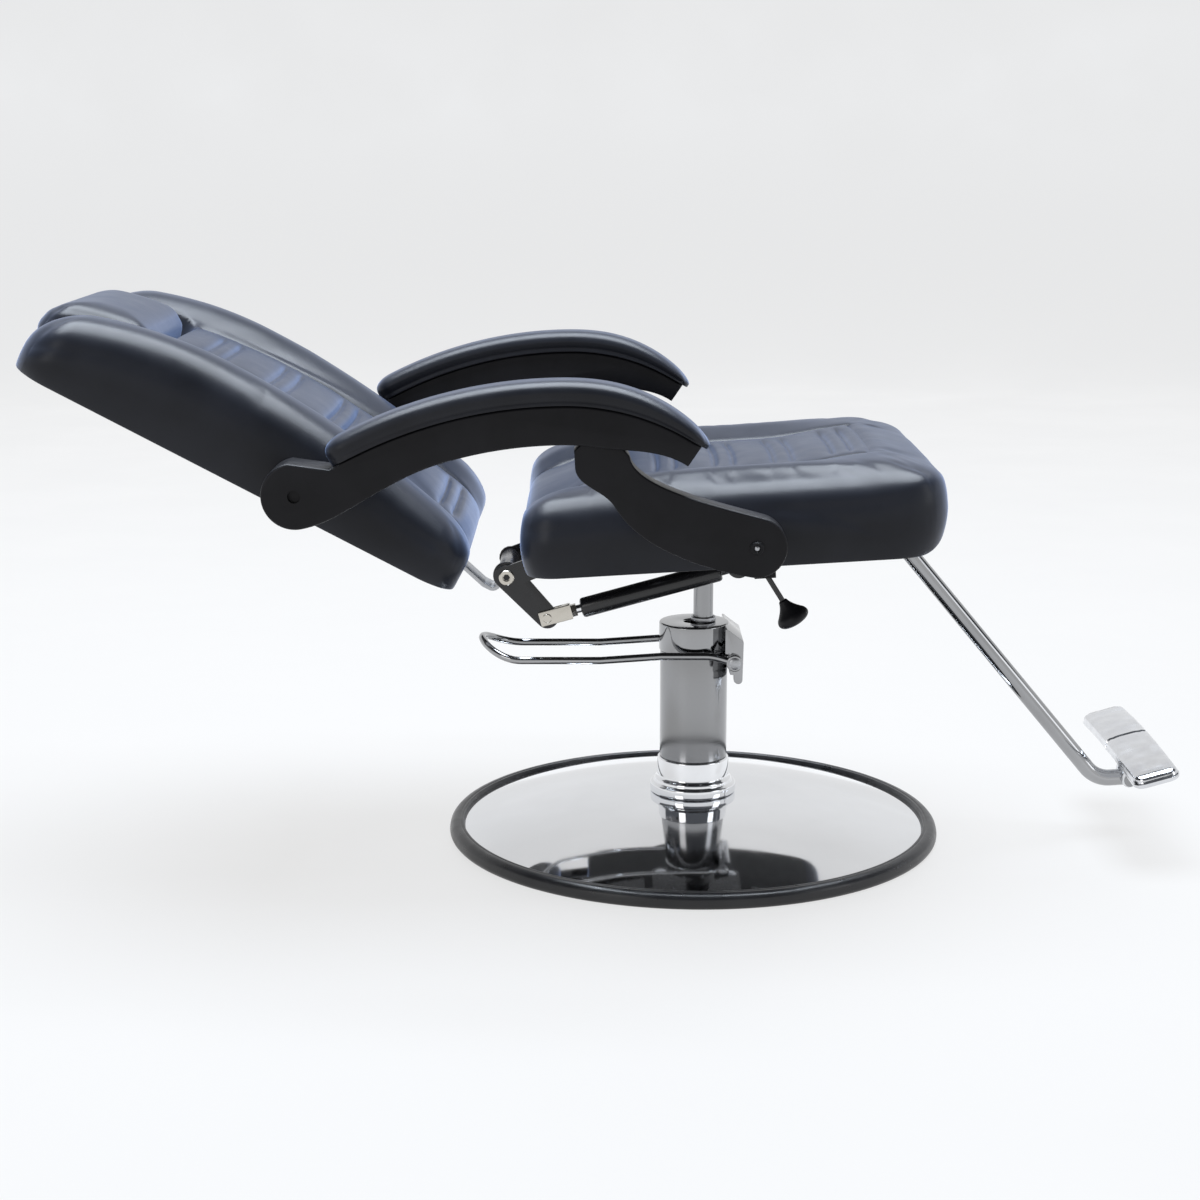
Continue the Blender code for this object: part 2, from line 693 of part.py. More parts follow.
def base_pieces(carrier, looks):
    inside_rim = BASE_RADIUS - RIM_WIDTH
    rod_place = move(ROD_OFFSET)
    rod("base_plate", inside_rim - GAP, 0, BALLAST_THICKNESS, carrier, Matrix(), looks["steel"], FINE)
    rim = [(BASE_RADIUS - RIM_ROUND, RIM_HEIGHT), (BASE_RADIUS - RIM_ROUND / 4, RIM_HEIGHT - RIM_ROUND * 3 / 4)]
    rim += [(BASE_RADIUS, RIM_FOOT), (BASE_RADIUS - RIM_FOOT, 0), (inside_rim, 0), (inside_rim, RIM_HEIGHT)]
    turned("rim_ring", rim, carrier, Matrix(), looks["rubber"], FINE)
    outer = even(COLUMN_BORE, inside_rim - GAP, 6)
    rises = [1 - ((r - COLUMN_BORE) / (inside_rim - COLUMN_BORE)) ** 2 for r in outer]
    dome = [(r, DOME_EDGE + DOME_RISE * rise) for r, rise in zip(outer, rises)]
    dome.append((outer[-1], BALLAST_THICKNESS + GAP))
    dome.append((outer[-1] - DOME_WALL, BALLAST_THICKNESS + GAP))
    inside = [(r, DOME_EDGE + DOME_RISE * rise - DOME_WALL) for r, rise in zip(outer, rises)]
    dome += inside[-2::-1]
    turned("base_dome", dome, carrier, Matrix(), looks["chrome"], FINE)
    neck = SLEEVE_RADIUS + COLLAR_NECK
    flange_top = COLLAR_BASE + COLLAR_FLANGE
    top = COLLAR_BASE + COLLAR_HEIGHT
    shoulder = neck + COLLAR_SHOULDER
    collar = [(neck - COLLAR_EDGE, top), (neck, top - COLLAR_EDGE), (neck, flange_top + COLLAR_STEP)]
    collar += [(shoulder, flange_top + COLLAR_STEP - COLLAR_SHOULDER), (shoulder, flange_top)]
    collar += [(COLLAR_RADIUS - COLLAR_EDGE, flange_top), (COLLAR_RADIUS, flange_top - COLLAR_EDGE)]
    collar += [(COLLAR_RADIUS, COLLAR_BASE), (COLUMN_BORE, COLLAR_BASE), (COLUMN_BORE, top)]
    turned("base_collar", collar, carrier, Matrix(), looks["chrome"], FINE)
    sleeve(
        "pump_sleeve", SLEEVE_RADIUS, COLUMN_BORE, SLEEVE_BASE, SLEEVE_TOP, carrier, Matrix(),
        looks["satin_chrome"], FINE,
    )
    sleeve(
        "pump_cylinder", CYLINDER_BORE + CYLINDER_WALL, CYLINDER_BORE, BALLAST_THICKNESS + GAP,
        SLEEVE_TOP, carrier, rod_place, looks["steel"], ROUND,
    )
    wiper = ROD_RADIUS + GAP + WIPER_WIDTH
    wiper_top = HEAD_TOP + GAP + WIPER_HEIGHT
    ring = [(wiper - WIPER_EDGE, wiper_top), (wiper, wiper_top - WIPER_EDGE), (wiper, HEAD_TOP + GAP)]
    ring += [(ROD_RADIUS + GAP, HEAD_TOP + GAP), (ROD_RADIUS + GAP, wiper_top)]
    turned("rod_wiper", ring, carrier, rod_place, looks["steel"], ROUND)


def pump_head(carrier, looks):
    """The round cap over the sleeve with its flat-sided front housing and hook, which carry the lever."""
    head = rod("pump_head", HEAD_RADIUS, HEAD_BASE, HEAD_TOP, carrier, Matrix(), looks["chrome"], FINE)
    low = HEAD_BASE - HEAD_DROP
    top = HEAD_TOP - HEAD_STEP
    hook = HEAD_NOSE - HOOK_THICKNESS
    tip = (HEAD_NOSE - HOOK_ROUND, low - HEAD_HOOK + HOOK_ROUND)
    housing = [(HEAD_BACK, low), (hook, low), (hook, tip[1])]
    housing += arc(tip, HOOK_ROUND, 210, 360, 5)
    housing += [(HEAD_NOSE, top - HEAD_SLOPE_DROP), (HEAD_NOSE - HEAD_SLOPE_LENGTH, top), (HEAD_BACK, top)]
    width = 2 * (LEVER_SIDE - LEVER_RADIUS - GAP)
    combine(head, slab("head_housing", housing, width, carrier, UPRIGHT, looks["chrome"]), "UNION")
    bore(head, SLEEVE_RADIUS + GAP, 0, HEAD_BASE - GAP / 2, carrier, Matrix(), looks["chrome"], FINE)
    bore(head, ROD_RADIUS + GAP, 0, 1, carrier, move(ROD_OFFSET), looks["chrome"], ROUND)
    pivot = move(LEVER_PIVOT_FORWARD, 0, LEVER_PIVOT_HEIGHT) @ ALONG_Y
    bore(head, LEVER_PIN + GAP, -1, 1, carrier, pivot, looks["chrome"])
    half = LEVER_SIDE + LEVER_RADIUS + GAP
    ends = (LEVER_PIN + PIN_HEAD, PIN_HEAD)
    headed_pin("lever_pivot_pin", LEVER_PIN, -half, half, carrier, pivot, looks["steel"], ends, ends)


def pump_lever(carrier, looks):
    """A bent round bar with an eye at each end, whose loop passes either side of the column."""
    bend_at = LEVER_SIDE - LEVER_LENGTH + LEVER_RADIUS
    places = [(0, 0), (-LEVER_RISE_END, LEVER_CREST), (-LEVER_CREST_END, LEVER_CREST)]
    places += [(-LEVER_FALL_END, LEVER_LEVEL), (bend_at, LEVER_LEVEL)]
    near = [(x, -LEVER_SIDE, z) for x, z in places]
    turn = []
    for i in range(1, 12):
        angle = math.pi * i / 12
        rise = LEVER_LEVEL + LEVER_KICK * math.sin(angle) ** 2
        turn.append((bend_at - LEVER_SIDE * math.sin(angle), -LEVER_SIDE * math.cos(angle), rise))
    far = [(x, -y, z) for x, y, z in reversed(near)]
    lever = tube("pump_lever", near + turn + far, LEVER_RADIUS, carrier, looks["chrome"], 2)
    for side in (-1, 1):
        place = move(0, side * LEVER_SIDE) @ ALONG_Y
        eye = rod("lever_eye", LEVER_EYE, -LEVER_RADIUS, LEVER_RADIUS, carrier, place, looks["chrome"])
        combine(lever, eye, "UNION")
    bore(lever, LEVER_PIN + GAP, -1, 1, carrier, ALONG_Y, looks["chrome"])


def ram_pieces(carrier, looks):
    """The piston that the oil lifts, with its seal in a groove."""
    radius = CYLINDER_BORE - GAP
    top = PISTON_REST + PISTON_LENGTH
    groove = radius - SEAL_DEPTH
    low = PISTON_REST + (PISTON_LENGTH - SEAL_HEIGHT) / 2
    high = low + SEAL_HEIGHT
    piston = [(0, top), (radius, top), (radius, high), (groove, high), (groove, low), (radius, low)]
    piston += [(radius, PISTON_REST), (0, PISTON_REST)]
    turned("ram_piston", piston, carrier, Matrix(), looks["steel"], ROUND, ring=False)
    ends = (low + GAP, high - GAP)
    sleeve("piston_seal", radius, groove + GAP, *ends, carrier, Matrix(), looks["rubber"], ROUND)


def seat_drive(carrier, looks):
    """Spindle, hub and plate: what the ram lifts and turns. The carrier is tilted with the seat."""
    upright = Matrix.Rotation(math.radians(SEAT_TILT), 4, "Y") @ move(z=-SEAT_HEIGHT)
    cap = SEAT_HEIGHT - PLATE_THICKNESS - HUB_CAP
    foot = PISTON_REST + PISTON_LENGTH + GAP
    rod("spindle", ROD_RADIUS, foot, cap - GAP, carrier, upright, looks["satin_chrome"], ROUND)
    low = SEAT_HEIGHT - PLATE_THICKNESS - HUB_LENGTH
    ends = (low, SEAT_HEIGHT + CUT_PAST)
    hub = rod("mount_hub", HUB_RADIUS, *ends, carrier, upright, looks["black_steel"], ROUND)
    bore(hub, ROD_RADIUS + GAP, 0, cap, carrier, upright, looks["black_steel"], ROUND)
    wide = HUB_RADIUS * 2
    under = -PLATE_THICKNESS - 2 * GAP
    top = block("hub_top", (-wide, -wide, under), (wide, wide, wide), carrier, looks["black_steel"])
    combine(hub, top)
    half = (PLATE_LENGTH / 2, PLATE_WIDTH / 2)
    corners = []
    for x, y, first in ((1, 1, 0), (-1, 1, 90), (-1, -1, 180), (1, -1, 270)):
        centre = (x * (half[0] - PLATE_CORNER), y * (half[1] - PLATE_CORNER))
        corners += arc(centre, PLATE_CORNER, first, first + 90, 4)
    place = move(z=-GAP - PLATE_THICKNESS / 2)
    slab("mount_plate", corners, PLATE_THICKNESS, carrier, place, looks["black_steel"])


def tray_outline(half, board, rail, height, grow):
    """The section of a board with a rail along each side, with its underside at zero."""
    inner = half - rail - grow
    outer = half + grow
    low = -CUT_PAST if grow else 0.0
    return [
        (-outer, low), (outer, low), (outer, height + grow), (inner, height + grow), (inner, board + grow),
        (-inner, board + grow), (-inner, height + grow), (-outer, height + grow),
    ]


def seat_shell(carrier, looks):
    """The wooden seat frame and the cushion that wraps over it."""
    half = SEAT_HALF_WIDTH - FRAME_MARGIN
    rear = SEAT_REAR + FRAME_MARGIN
    front = SEAT_FRONT - FRAME_END_MARGIN
    place = move((rear + front) / 2) @ Matrix(((0, 0, 1, 0), (1, 0, 0, 0), (0, 1, 0, 0), (0, 0, 0, 1)))
    size = (half, FRAME_BOARD, FRAME_RAIL, FRAME_RAIL_HEIGHT)
    frame = slab("seat_frame", tray_outline(*size, 0), front - rear, carrier, place, looks["wood"])
    along = tuck_stations(
        SEAT_REAR, SEAT_FRONT, SEAT_TUCK_FIRST, SEAT_TUCK_PITCH, SEAT_TUCKS, SEAT_ROLL_WIDTH
    )
    across = across_stations(SEAT_HALF_WIDTH, SEAT_ROLL_WIDTH, SEAT_PANEL_HALF, (1.0, 0.5, 0.2, 0.0))
    shape = lattice((along, across, even(0, 1, 3)))
    for vertex in shape.verts:
        x, y, share = vertex.co
        plan = rounded_plan(x, y, SEAT_REAR, SEAT_FRONT, SEAT_HALF_WIDTH, SEAT_REAR_CORNER, SEAT_FRONT_CORNER)
        inside = plan[2]
        top = seat_top(x, plan[1], inside)
        curl = roll(SEAT_FRONT - x, SEAT_CURL_LENGTH, SEAT_FRONT_CURL)
        draw = draw_in(share, SIDE_DRAW) * (1 - ease(inside, 0, SEAT_ROLL_WIDTH))
        bow = tuck_bow(plan[1], SEAT_PANEL_HALF, TUCK_BOW) * ease(inside, 0, 2 * SEAT_ROLL_WIDTH) * share
        centre = (SEAT_REAR + SEAT_FRONT) / 2
        pull = 1 - draw / SEAT_HALF_WIDTH
        vertex.co.x = centre + (plan[0] - centre) * (1 + pull) / 2 + bow
        vertex.co.y = plan[1] * pull
        vertex.co.z = curl + (top - curl) * share
    cushion = add_shape("seat_cushion", shape, carrier, Matrix(), looks["leather"])
    long = front - rear + 2 * GAP
    pocket = slab("seat_pocket", tray_outline(*size, GAP), long, carrier, place, looks["wood"])
    combine(cushion, pocket)
    pivot = local(carrier, SUPPORT_PIVOT)
    for side in (-1, 1):
        hole = move(pivot.x, 0, pivot.z) @ ALONG_Y
        ends = sorted((side * (half - FRAME_RAIL - CUT_PAST), side * (SEAT_HALF_WIDTH + CUT_PAST)))
        for piece in (frame, cushion):
            bore(piece, SUPPORT_SCREW + GAP, *ends, carrier, hole, looks["wood"])
        far = SUPPORT_SIDE + SUPPORT_THICKNESS / 2 + GAP
        spread = sorted((side * (half - FRAME_RAIL), side * far))
        head = (SCREW_HEAD, SCREW_HEAD_HEIGHT)
        heads = (head, None) if side < 0 else (None, head)
        name = "arm_screw_right" if side < 0 else "arm_screw_left"
        headed_pin(name, SUPPORT_SCREW, *spread, carrier, hole, looks["satin_chrome"], *heads)


def local(carrier, place, y=0.0):
    """A place given by its forward and up distances in the chair, as the carrier sees it."""
    return carrier.matrix_basis.inverted() @ Vector((place[0], y, place[1]))


def hinge_pieces(carrier, looks):
    """The bracket under the seat's rear edge whose cheeks hold the recline bolt."""
    pivot = local(carrier, RECLINE_PIVOT)
    centre = (pivot.x, pivot.z)
    web_half = HINGE_HALF + GAP + CHEEK_THICKNESS
    bracket = block(
        "hinge_bracket", (BRACKET_REAR, -web_half, -GAP - CHEEK_THICKNESS), (BRACKET_FRONT, web_half, -GAP),
        carrier, looks["black_steel"],
    )
    cheek = arc(centre, CHEEK_RADIUS, 80, 285, 10)
    cheek.append((BRACKET_REAR + CHEEK_HEEL, -GAP - CHEEK_DEPTH))
    cheek += [(BRACKET_FRONT, -2 * CHEEK_THICKNESS), (BRACKET_FRONT, -GAP)]
    cheek += [(BRACKET_REAR, -GAP)]
    for side in (-1, 1):
        place = move(y=side * (web_half - CHEEK_THICKNESS / 2)) @ UPRIGHT
        plate = slab("hinge_cheek", cheek, CHEEK_THICKNESS, carrier, place, looks["black_steel"])
        combine(bracket, plate, "UNION")
    hole = move(pivot.x, 0, pivot.z) @ ALONG_Y
    bore(bracket, HINGE_BOLT + GAP, -1, 1, carrier, hole, looks["black_steel"])
    ends = (HINGE_BOLT + PIN_HEAD, PIN_HEAD)
    half = web_half + GAP
    headed_pin("hinge_bolt", HINGE_BOLT, -half, half, carrier, hole, looks["satin_chrome"], ends, ends)


def spring_anchor(carrier, looks):
    """The forked bracket under the mount plate that holds the gas spring's front eye."""
    pin = local(carrier, SPRING_ANCHOR)
    top = -PLATE_THICKNESS - 2 * GAP
    inner = EYE_WIDTH / 2 + 2 * GAP
    outer = inner + ANCHOR_CHEEK
    low = (pin.x - ANCHOR_EAR, SPRING_SIDE - outer, top - ANCHOR_CHEEK)
    anchor = block(
        "spring_anchor", low, (pin.x + ANCHOR_EAR, SPRING_SIDE + outer, top), carrier, looks["black_steel"]
    )
    ear = arc((pin.x, pin.z), ANCHOR_EAR, 180, 360, 8) + [(pin.x + ANCHOR_EAR, top), (pin.x - ANCHOR_EAR, top)]
    for side in (-1, 1):
        place = move(y=SPRING_SIDE + side * (outer - ANCHOR_CHEEK / 2)) @ UPRIGHT
        plate = slab("anchor_ear", ear, ANCHOR_CHEEK, carrier, place, looks["black_steel"])
        combine(anchor, plate, "UNION")
    hole = move(pin.x, SPRING_SIDE, pin.z) @ ALONG_Y
    bore(anchor, ANCHOR_PIN + GAP, -2 * outer, 2 * outer, carrier, hole, looks["black_steel"])
    ends = (ANCHOR_PIN + PIN_HEAD, PIN_HEAD)
    half = outer + GAP
    headed_pin("anchor_pin", ANCHOR_PIN, -half, half, carrier, hole, looks["steel"], ends, ends)


def release_bracket(carrier, looks):
    pivot = local(carrier, RELEASE_AT)
    slot = RELEASE_ROD + 2 * GAP
    half = slot + RELEASE_CHEEK
    low = (pivot.x - RELEASE_BLOCK, RELEASE_SIDE - half, pivot.z - RELEASE_BLOCK / 2)
    high = (pivot.x + RELEASE_BLOCK, RELEASE_SIDE + half, -GAP)
    bracket = block("release_bracket", low, high, carrier, looks["black_plastic"])
    low = (pivot.x - CUT_PAST * 2, RELEASE_SIDE - slot, pivot.z - CUT_PAST * 2)
    high = (pivot.x + CUT_PAST * 2, RELEASE_SIDE + slot, pivot.z + RELEASE_ROD + 2 * GAP)
    combine(bracket, block("release_slot", low, high, carrier, looks["black_plastic"]))
    hole = move(pivot.x, RELEASE_SIDE, pivot.z) @ ALONG_Y
    bore(bracket, RELEASE_ROD + GAP, -2 * half, 2 * half, carrier, hole, looks["black_plastic"])


def release_handle(carrier, looks):
    """A rod on a cross shaft, with a moulded bell knob. The carrier's X axis runs down the rod."""
    handle = rod("release_rod", RELEASE_ROD, 0, RELEASE_DROP, carrier, ALONG_X, looks["satin_chrome"])
    reach = RELEASE_ROD + RELEASE_CHEEK
    shaft = rod("release_shaft", RELEASE_ROD, -reach, reach, carrier, ALONG_Y, looks["satin_chrome"])
    combine(handle, shaft, "UNION")
    foot = RELEASE_DROP + GAP
    profile = [(0, foot + KNOB_LENGTH)]
    for turned_by in (20, 45, 70, 90):
        angle = math.radians(turned_by)
        profile.append((KNOB_RADIUS * math.sin(angle), foot + KNOB_LENGTH - KNOB_CHEEK * (1 - math.cos(angle))))
    flare = KNOB_LENGTH - KNOB_CHEEK
    for share in (0.75, 0.5, 0.25):
        profile.append((KNOB_NECK + (KNOB_RADIUS - KNOB_NECK) * share ** 1.5, foot + flare * share))
    profile += [(KNOB_NECK, foot), (0, foot)]
    turned("release_knob", profile, carrier, ALONG_X, looks["black_plastic"], SMALL, ring=False)


def stem_corners(carrier):
    """Corners of the footrest stem in the seat's frame: socket, bend, foot bend and tail."""
    drop = STEM_RADIUS + GAP + SOCKET_WALL + GAP
    lean = STEM_ANGLE - SEAT_TILT
    tail = STEM_TAIL_ANGLE - SEAT_TILT
    bend = Vector((STEM_BEND_AT - carrier.matrix_basis.translation.x, 0, -drop))
    foot = bend + Vector((math.cos(math.radians(lean)), 0, math.sin(math.radians(lean)))) * STEM_LENGTH
    toe = Vector((math.cos(math.radians(tail)), 0, math.sin(math.radians(tail))))
    pin = foot + toe * (STEM_TAIL - FOOT_PIN_INSET)
    return Vector((STEM_START, 0, -drop)), bend, foot, foot + toe * STEM_TAIL, pin


def footrest(carrier, looks):
    """The socket under the seat, the bent chrome stem in it and the pin for the footplate."""
    start_at, bend, foot, end, pin = stem_corners(carrier)
    path = bent_path((start_at, bend, foot, end), STEM_BEND)
    stem = tube("footrest_stem", path, STEM_RADIUS, carrier, looks["chrome"])
    hole = Matrix.Translation(pin) @ ALONG_Y
    bore(stem, FOOT_PIN + GAP, -1, 1, carrier, hole, looks["chrome"])
    wide = STEM_RADIUS + GAP + SOCKET_WALL
    low = (STEM_START, -wide, start_at.z - wide)
    high = (STEM_START + SOCKET_LENGTH, wide, -GAP)
    socket = block("footrest_socket", low, high, carrier, looks["black_steel"])
    bore_place = Matrix.Translation(start_at) @ ALONG_X
    bore(socket, STEM_RADIUS + GAP, -1, 1, carrier, bore_place, looks["black_steel"], ROUND)
    half = STEM_RADIUS + LUG_THICKNESS + 3 * GAP
    ends = (FOOT_PIN + PIN_HEAD, PIN_HEAD)
    headed_pin("footplate_pin", FOOT_PIN, -half, half, carrier, hole, looks["satin_chrome"], ends, ends)


def footplate(carrier, looks):
    """A cast plate of two bevelled lobes with a crease between them, on two lugs round the pin."""
    half = FOOT_HALF_WIDTH
    edge = FOOT_BEVEL * 0.4
    side = [FOOT_CREASE_WIDTH / 2, FOOT_CREASE_WIDTH, half / 2, half - FOOT_BEVEL, half - edge, half]
    wide = [-y for y in reversed(side)] + [0.0] + side
    deep = FOOT_DEPTH / 2
    depth = [-deep, edge - deep, FOOT_BEVEL - deep, deep - FOOT_BEVEL, deep - edge, deep]
    shape = lattice((depth, wide, [0.0, 1.0]))
    for vertex in shape.verts:
        x, y, share = vertex.co
        plan = rounded_plan(y, x, -half, half, deep, FOOT_CORNER, FOOT_CORNER)
        crease = FOOT_CREASE * max(0.0, 1 - abs(y) / FOOT_CREASE_WIDTH)
        droop = FOOT_DROOP * (y / half) ** 2
        bevel = roll(plan[2], FOOT_BEVEL, FOOT_BEVEL_DROP)
        vertex.co.x = FOOT_FORWARD + plan[1]
        vertex.co.y = plan[0]
        vertex.co.z = FOOT_RISE - droop - (crease + bevel if share else FOOT_THICKNESS)
    plate = add_shape("footplate", shape, carrier, Matrix(), looks["aluminium"])
    for sign in (-1, 1):
        place = move(y=sign * (STEM_RADIUS + 2 * GAP + LUG_THICKNESS / 2)) @ UPRIGHT
        top = (FOOT_FORWARD, FOOT_RISE - FOOT_THICKNESS)
        outline = link_outline((0, 0), LUG_RADIUS, top, LUG_RADIUS * 0.7, 6)
        lug = slab("footplate_lug", outline, LUG_THICKNESS, carrier, place, looks["aluminium"])
        combine(plate, lug, "UNION")
    bore(plate, FOOT_PIN + GAP, -1, 1, carrier, ALONG_Y, looks["aluminium"])


def back_shell(carrier, looks):
    """The wooden back frame and its winged cushion. The carrier's Z axis runs up the back."""
    half = BACK_HALF_WIDTH - BACK_FRAME_MARGIN
    foot = BACK_FOOT + BACK_FRAME_END
    head = BACK_HEAD - BACK_FRAME_END
    turn = Matrix(((0, 1, 0, 0), (1, 0, 0, 0), (0, 0, -1, 0), (0, 0, 0, 1)))
    place = move(BACK_REAR, 0, (foot + head) / 2) @ turn
    size = (half, BACK_BOARD, BACK_RAIL, BACK_RAIL_HEIGHT)
    frame = slab("back_frame", tray_outline(*size, 0), head - foot, carrier, place, looks["wood"])
    along = tuck_stations(
        BACK_FOOT, BACK_HEAD, BACK_TUCK_FIRST, BACK_TUCK_PITCH, BACK_TUCKS, BACK_ROLL_WIDTH
    )
    across = across_stations(BACK_HALF_WIDTH, BACK_ROLL_WIDTH, BACK_PANEL_HALF, (0.6, 0.2, 0.0))
    shape = lattice((even(0, 1, 3), across, along))
    for vertex in shape.verts:
        share, y, a = vertex.co
        plan = rounded_plan(a, y, BACK_FOOT, BACK_HEAD, BACK_HALF_WIDTH, BACK_CORNER, BACK_CORNER)
        inside = plan[2]
        top = back_top(a, plan[1], inside)
        draw = draw_in(share, SIDE_DRAW) * (1 - ease(inside, 0, BACK_ROLL_WIDTH))
        bow = tuck_bow(plan[1], BACK_PANEL_HALF, -TUCK_BOW) * ease(inside, 0, 2 * BACK_ROLL_WIDTH) * share
        pull = 1 - draw / BACK_HALF_WIDTH
        vertex.co.x = BACK_REAR + (top - BACK_REAR) * share
        vertex.co.y = plan[1] * pull
        vertex.co.z = plan[0] + bow
    cushion = add_shape("back_cushion", shape, carrier, Matrix(), looks["leather"])
    long = head - foot + 2 * GAP
    pocket = slab("back_pocket", tray_outline(*size, GAP), long, carrier, place, looks["wood"])
    combine(cushion, pocket)
    notch = HEADREST_FOOT - NOTCH_FOOT
    side = HEADREST_HALF_WIDTH + NOTCH_SIDE
    low = (HEADREST_REAR - GAP, -side, notch)
    combine(cushion, block("headrest_notch", low, (1, side, 1), carrier, looks["leather"]))
    pivot = local(carrier, ARM_PIVOT)
    for sign in (-1, 1):
        hole = move(pivot.x, 0, pivot.z) @ ALONG_Y
        ends = sorted((sign * (half - BACK_RAIL - CUT_PAST), sign * (BACK_HALF_WIDTH + CUT_PAST)))
        for piece in (frame, cushion):
            bore(piece, ARM_BOLT + GAP, *ends, carrier, hole, looks["wood"])
        far = ARM_INNER + ARM_WIDTH * 0.6
        spread = sorted((sign * (half - BACK_RAIL), sign * far))
        name = "arm_pivot_bolt_right" if sign < 0 else "arm_pivot_bolt_left"
        headed_pin(name, ARM_BOLT, *spread, carrier, hole, looks["steel"])
        name = "headrest_guide_right" if sign < 0 else "headrest_guide_left"
        place = move(HEADREST_REAR + HEADREST_BOARD / 2, sign * POST_SPREAD)
        outer = POST_RADIUS + GAP + GUIDE_WALL
        low = HEADREST_FOOT + HEADREST_BOARD_MARGIN - POST_LENGTH - GUIDE_TAIL
        bore(cushion, outer + GAP, low - GAP, notch + CUT_PAST, carrier, place, looks["wood"])
        sleeve(name, outer, POST_RADIUS + GAP, low, notch - GAP, carrier, place, looks["black_plastic"])


def recline_pieces(carrier, looks):
    """The barrel on the recline bolt, with the bent bar up the back and the crank to the gas spring."""
    sleeve(
        "hinge_barrel", HINGE_BARREL, HINGE_BOLT + GAP, -HINGE_HALF, HINGE_HALF, carrier, ALONG_Y,
        looks["black_steel"], ROUND,
    )
    lie = BACK_REAR - GAP - BAR_THICKNESS / 2
    corners = [(0, 0, 0), (-BAR_DIP, 0, BAR_STEP), (-BAR_DIP, 0, BAR_RISE)]
    corners += [(lie, 0, BACK_FOOT + BAR_FOOT), (lie, 0, BAR_TOP)]
    strip = thick_path(bent_path(corners, BAR_BEND, 4), BAR_THICKNESS)
    bar = slab("back_bar", strip, BAR_WIDTH, carrier, UPRIGHT, looks["steel"])
    bore(bar, HINGE_BARREL + GAP, -1, 1, carrier, ALONG_Y, looks["black_steel"], ROUND)
    end = local(carrier, crank_end())
    outline = link_outline((0, 0), CRANK_PIVOT_RADIUS, (end.x, end.z), CRANK_END_RADIUS)
    place = move(y=SPRING_SIDE) @ UPRIGHT
    crank = slab("recline_crank", outline, CRANK_THICKNESS, carrier, place, looks["black_steel"])
    bore(crank, HINGE_BARREL + GAP, -1, 1, carrier, ALONG_Y, looks["black_steel"], ROUND)
    bore(crank, CLEVIS_PIN + GAP, -1, 1, carrier, move(end.x, 0, end.z) @ ALONG_Y, looks["black_steel"])


def crank_end():
    """Where the crank holds the gas spring's clevis, forward and up in the chair."""
    angle = math.radians(CRANK_ANGLE)
    return (
        RECLINE_PIVOT[0] + CRANK_LENGTH * math.cos(angle), RECLINE_PIVOT[1] + CRANK_LENGTH * math.sin(angle)
    )


def spring_rod_pieces(carrier, looks):
    """Clevis, pin, rod and lock nut. The carrier lies on the clevis pin with its X axis along the spring."""
    half = CRANK_THICKNESS / 2 + GAP + CLEVIS_WALL
    low = (-CLEVIS_HEIGHT / 2, -half, -CLEVIS_HEIGHT / 2)
    clevis = block("spring_clevis", low, (CLEVIS_LENGTH, half, CLEVIS_HEIGHT / 2), carrier, looks["nickel"])
    slot = CRANK_THICKNESS / 2 + GAP
    low = (-CLEVIS_HEIGHT, -slot, -CLEVIS_HEIGHT)
    combine(clevis, block("clevis_slot", low, (CLEVIS_SLOT, slot, CLEVIS_HEIGHT), carrier, looks["nickel"]))
    bore(clevis, CLEVIS_PIN + GAP, -1, 1, carrier, ALONG_Y, looks["nickel"])
    ends = (CLEVIS_PIN + PIN_HEAD / 2, PIN_HEAD / 2)
    headed_pin("clevis_pin", CLEVIS_PIN, -half - GAP, half + GAP, carrier, ALONG_Y, looks["steel"], ends, ends)
    start_at = CLEVIS_LENGTH + GAP
    far = SPRING_START + SPRING_STROKE
    rod("spring_rod", SPRING_ROD, start_at, far, carrier, ALONG_X, looks["satin_chrome"])
    nut = rod("lock_nut", NUT_RADIUS, start_at, start_at + NUT_LENGTH, carrier, ALONG_X, looks["nickel"], 6)
    bore(nut, SPRING_ROD + GAP, -1, 1, carrier, ALONG_X, looks["nickel"])


def spring_cylinder(carrier, length, looks):
    """The gas cylinder with its front eye, which has play round the anchor pin."""
    end = length - EYE_RADIUS - SPRING_NECK
    neck = SPRING_ROD + SPRING_NECK_STEP
    edge = SPRING_RADIUS - SPRING_EDGE
    profile = [(0, length - SPRING_NECK_END), (neck, length - SPRING_NECK_END), (neck, end), (edge, end)]
    profile += [(SPRING_RADIUS, end - SPRING_EDGE), (SPRING_RADIUS, SPRING_START + SPRING_EDGE)]
    profile += [(edge, SPRING_START), (0, SPRING_START)]
    body = turned("spring_cylinder", profile, carrier, ALONG_X, looks["black_steel"], 24, ring=False)
    front = move(length) @ ALONG_Y
    half = EYE_WIDTH / 2
    eye = rod("spring_eye", EYE_RADIUS, -half, half, carrier, front, looks["black_steel"], 24)
    combine(body, eye, "UNION")
    bore(body, EYE_BORE, -1, 1, carrier, front, looks["black_steel"], 24)
    deep = SPRING_START + SPRING_STROKE + GAP
    bore(body, SPRING_ROD + GAP, 0, deep, carrier, ALONG_X, looks["black_steel"])


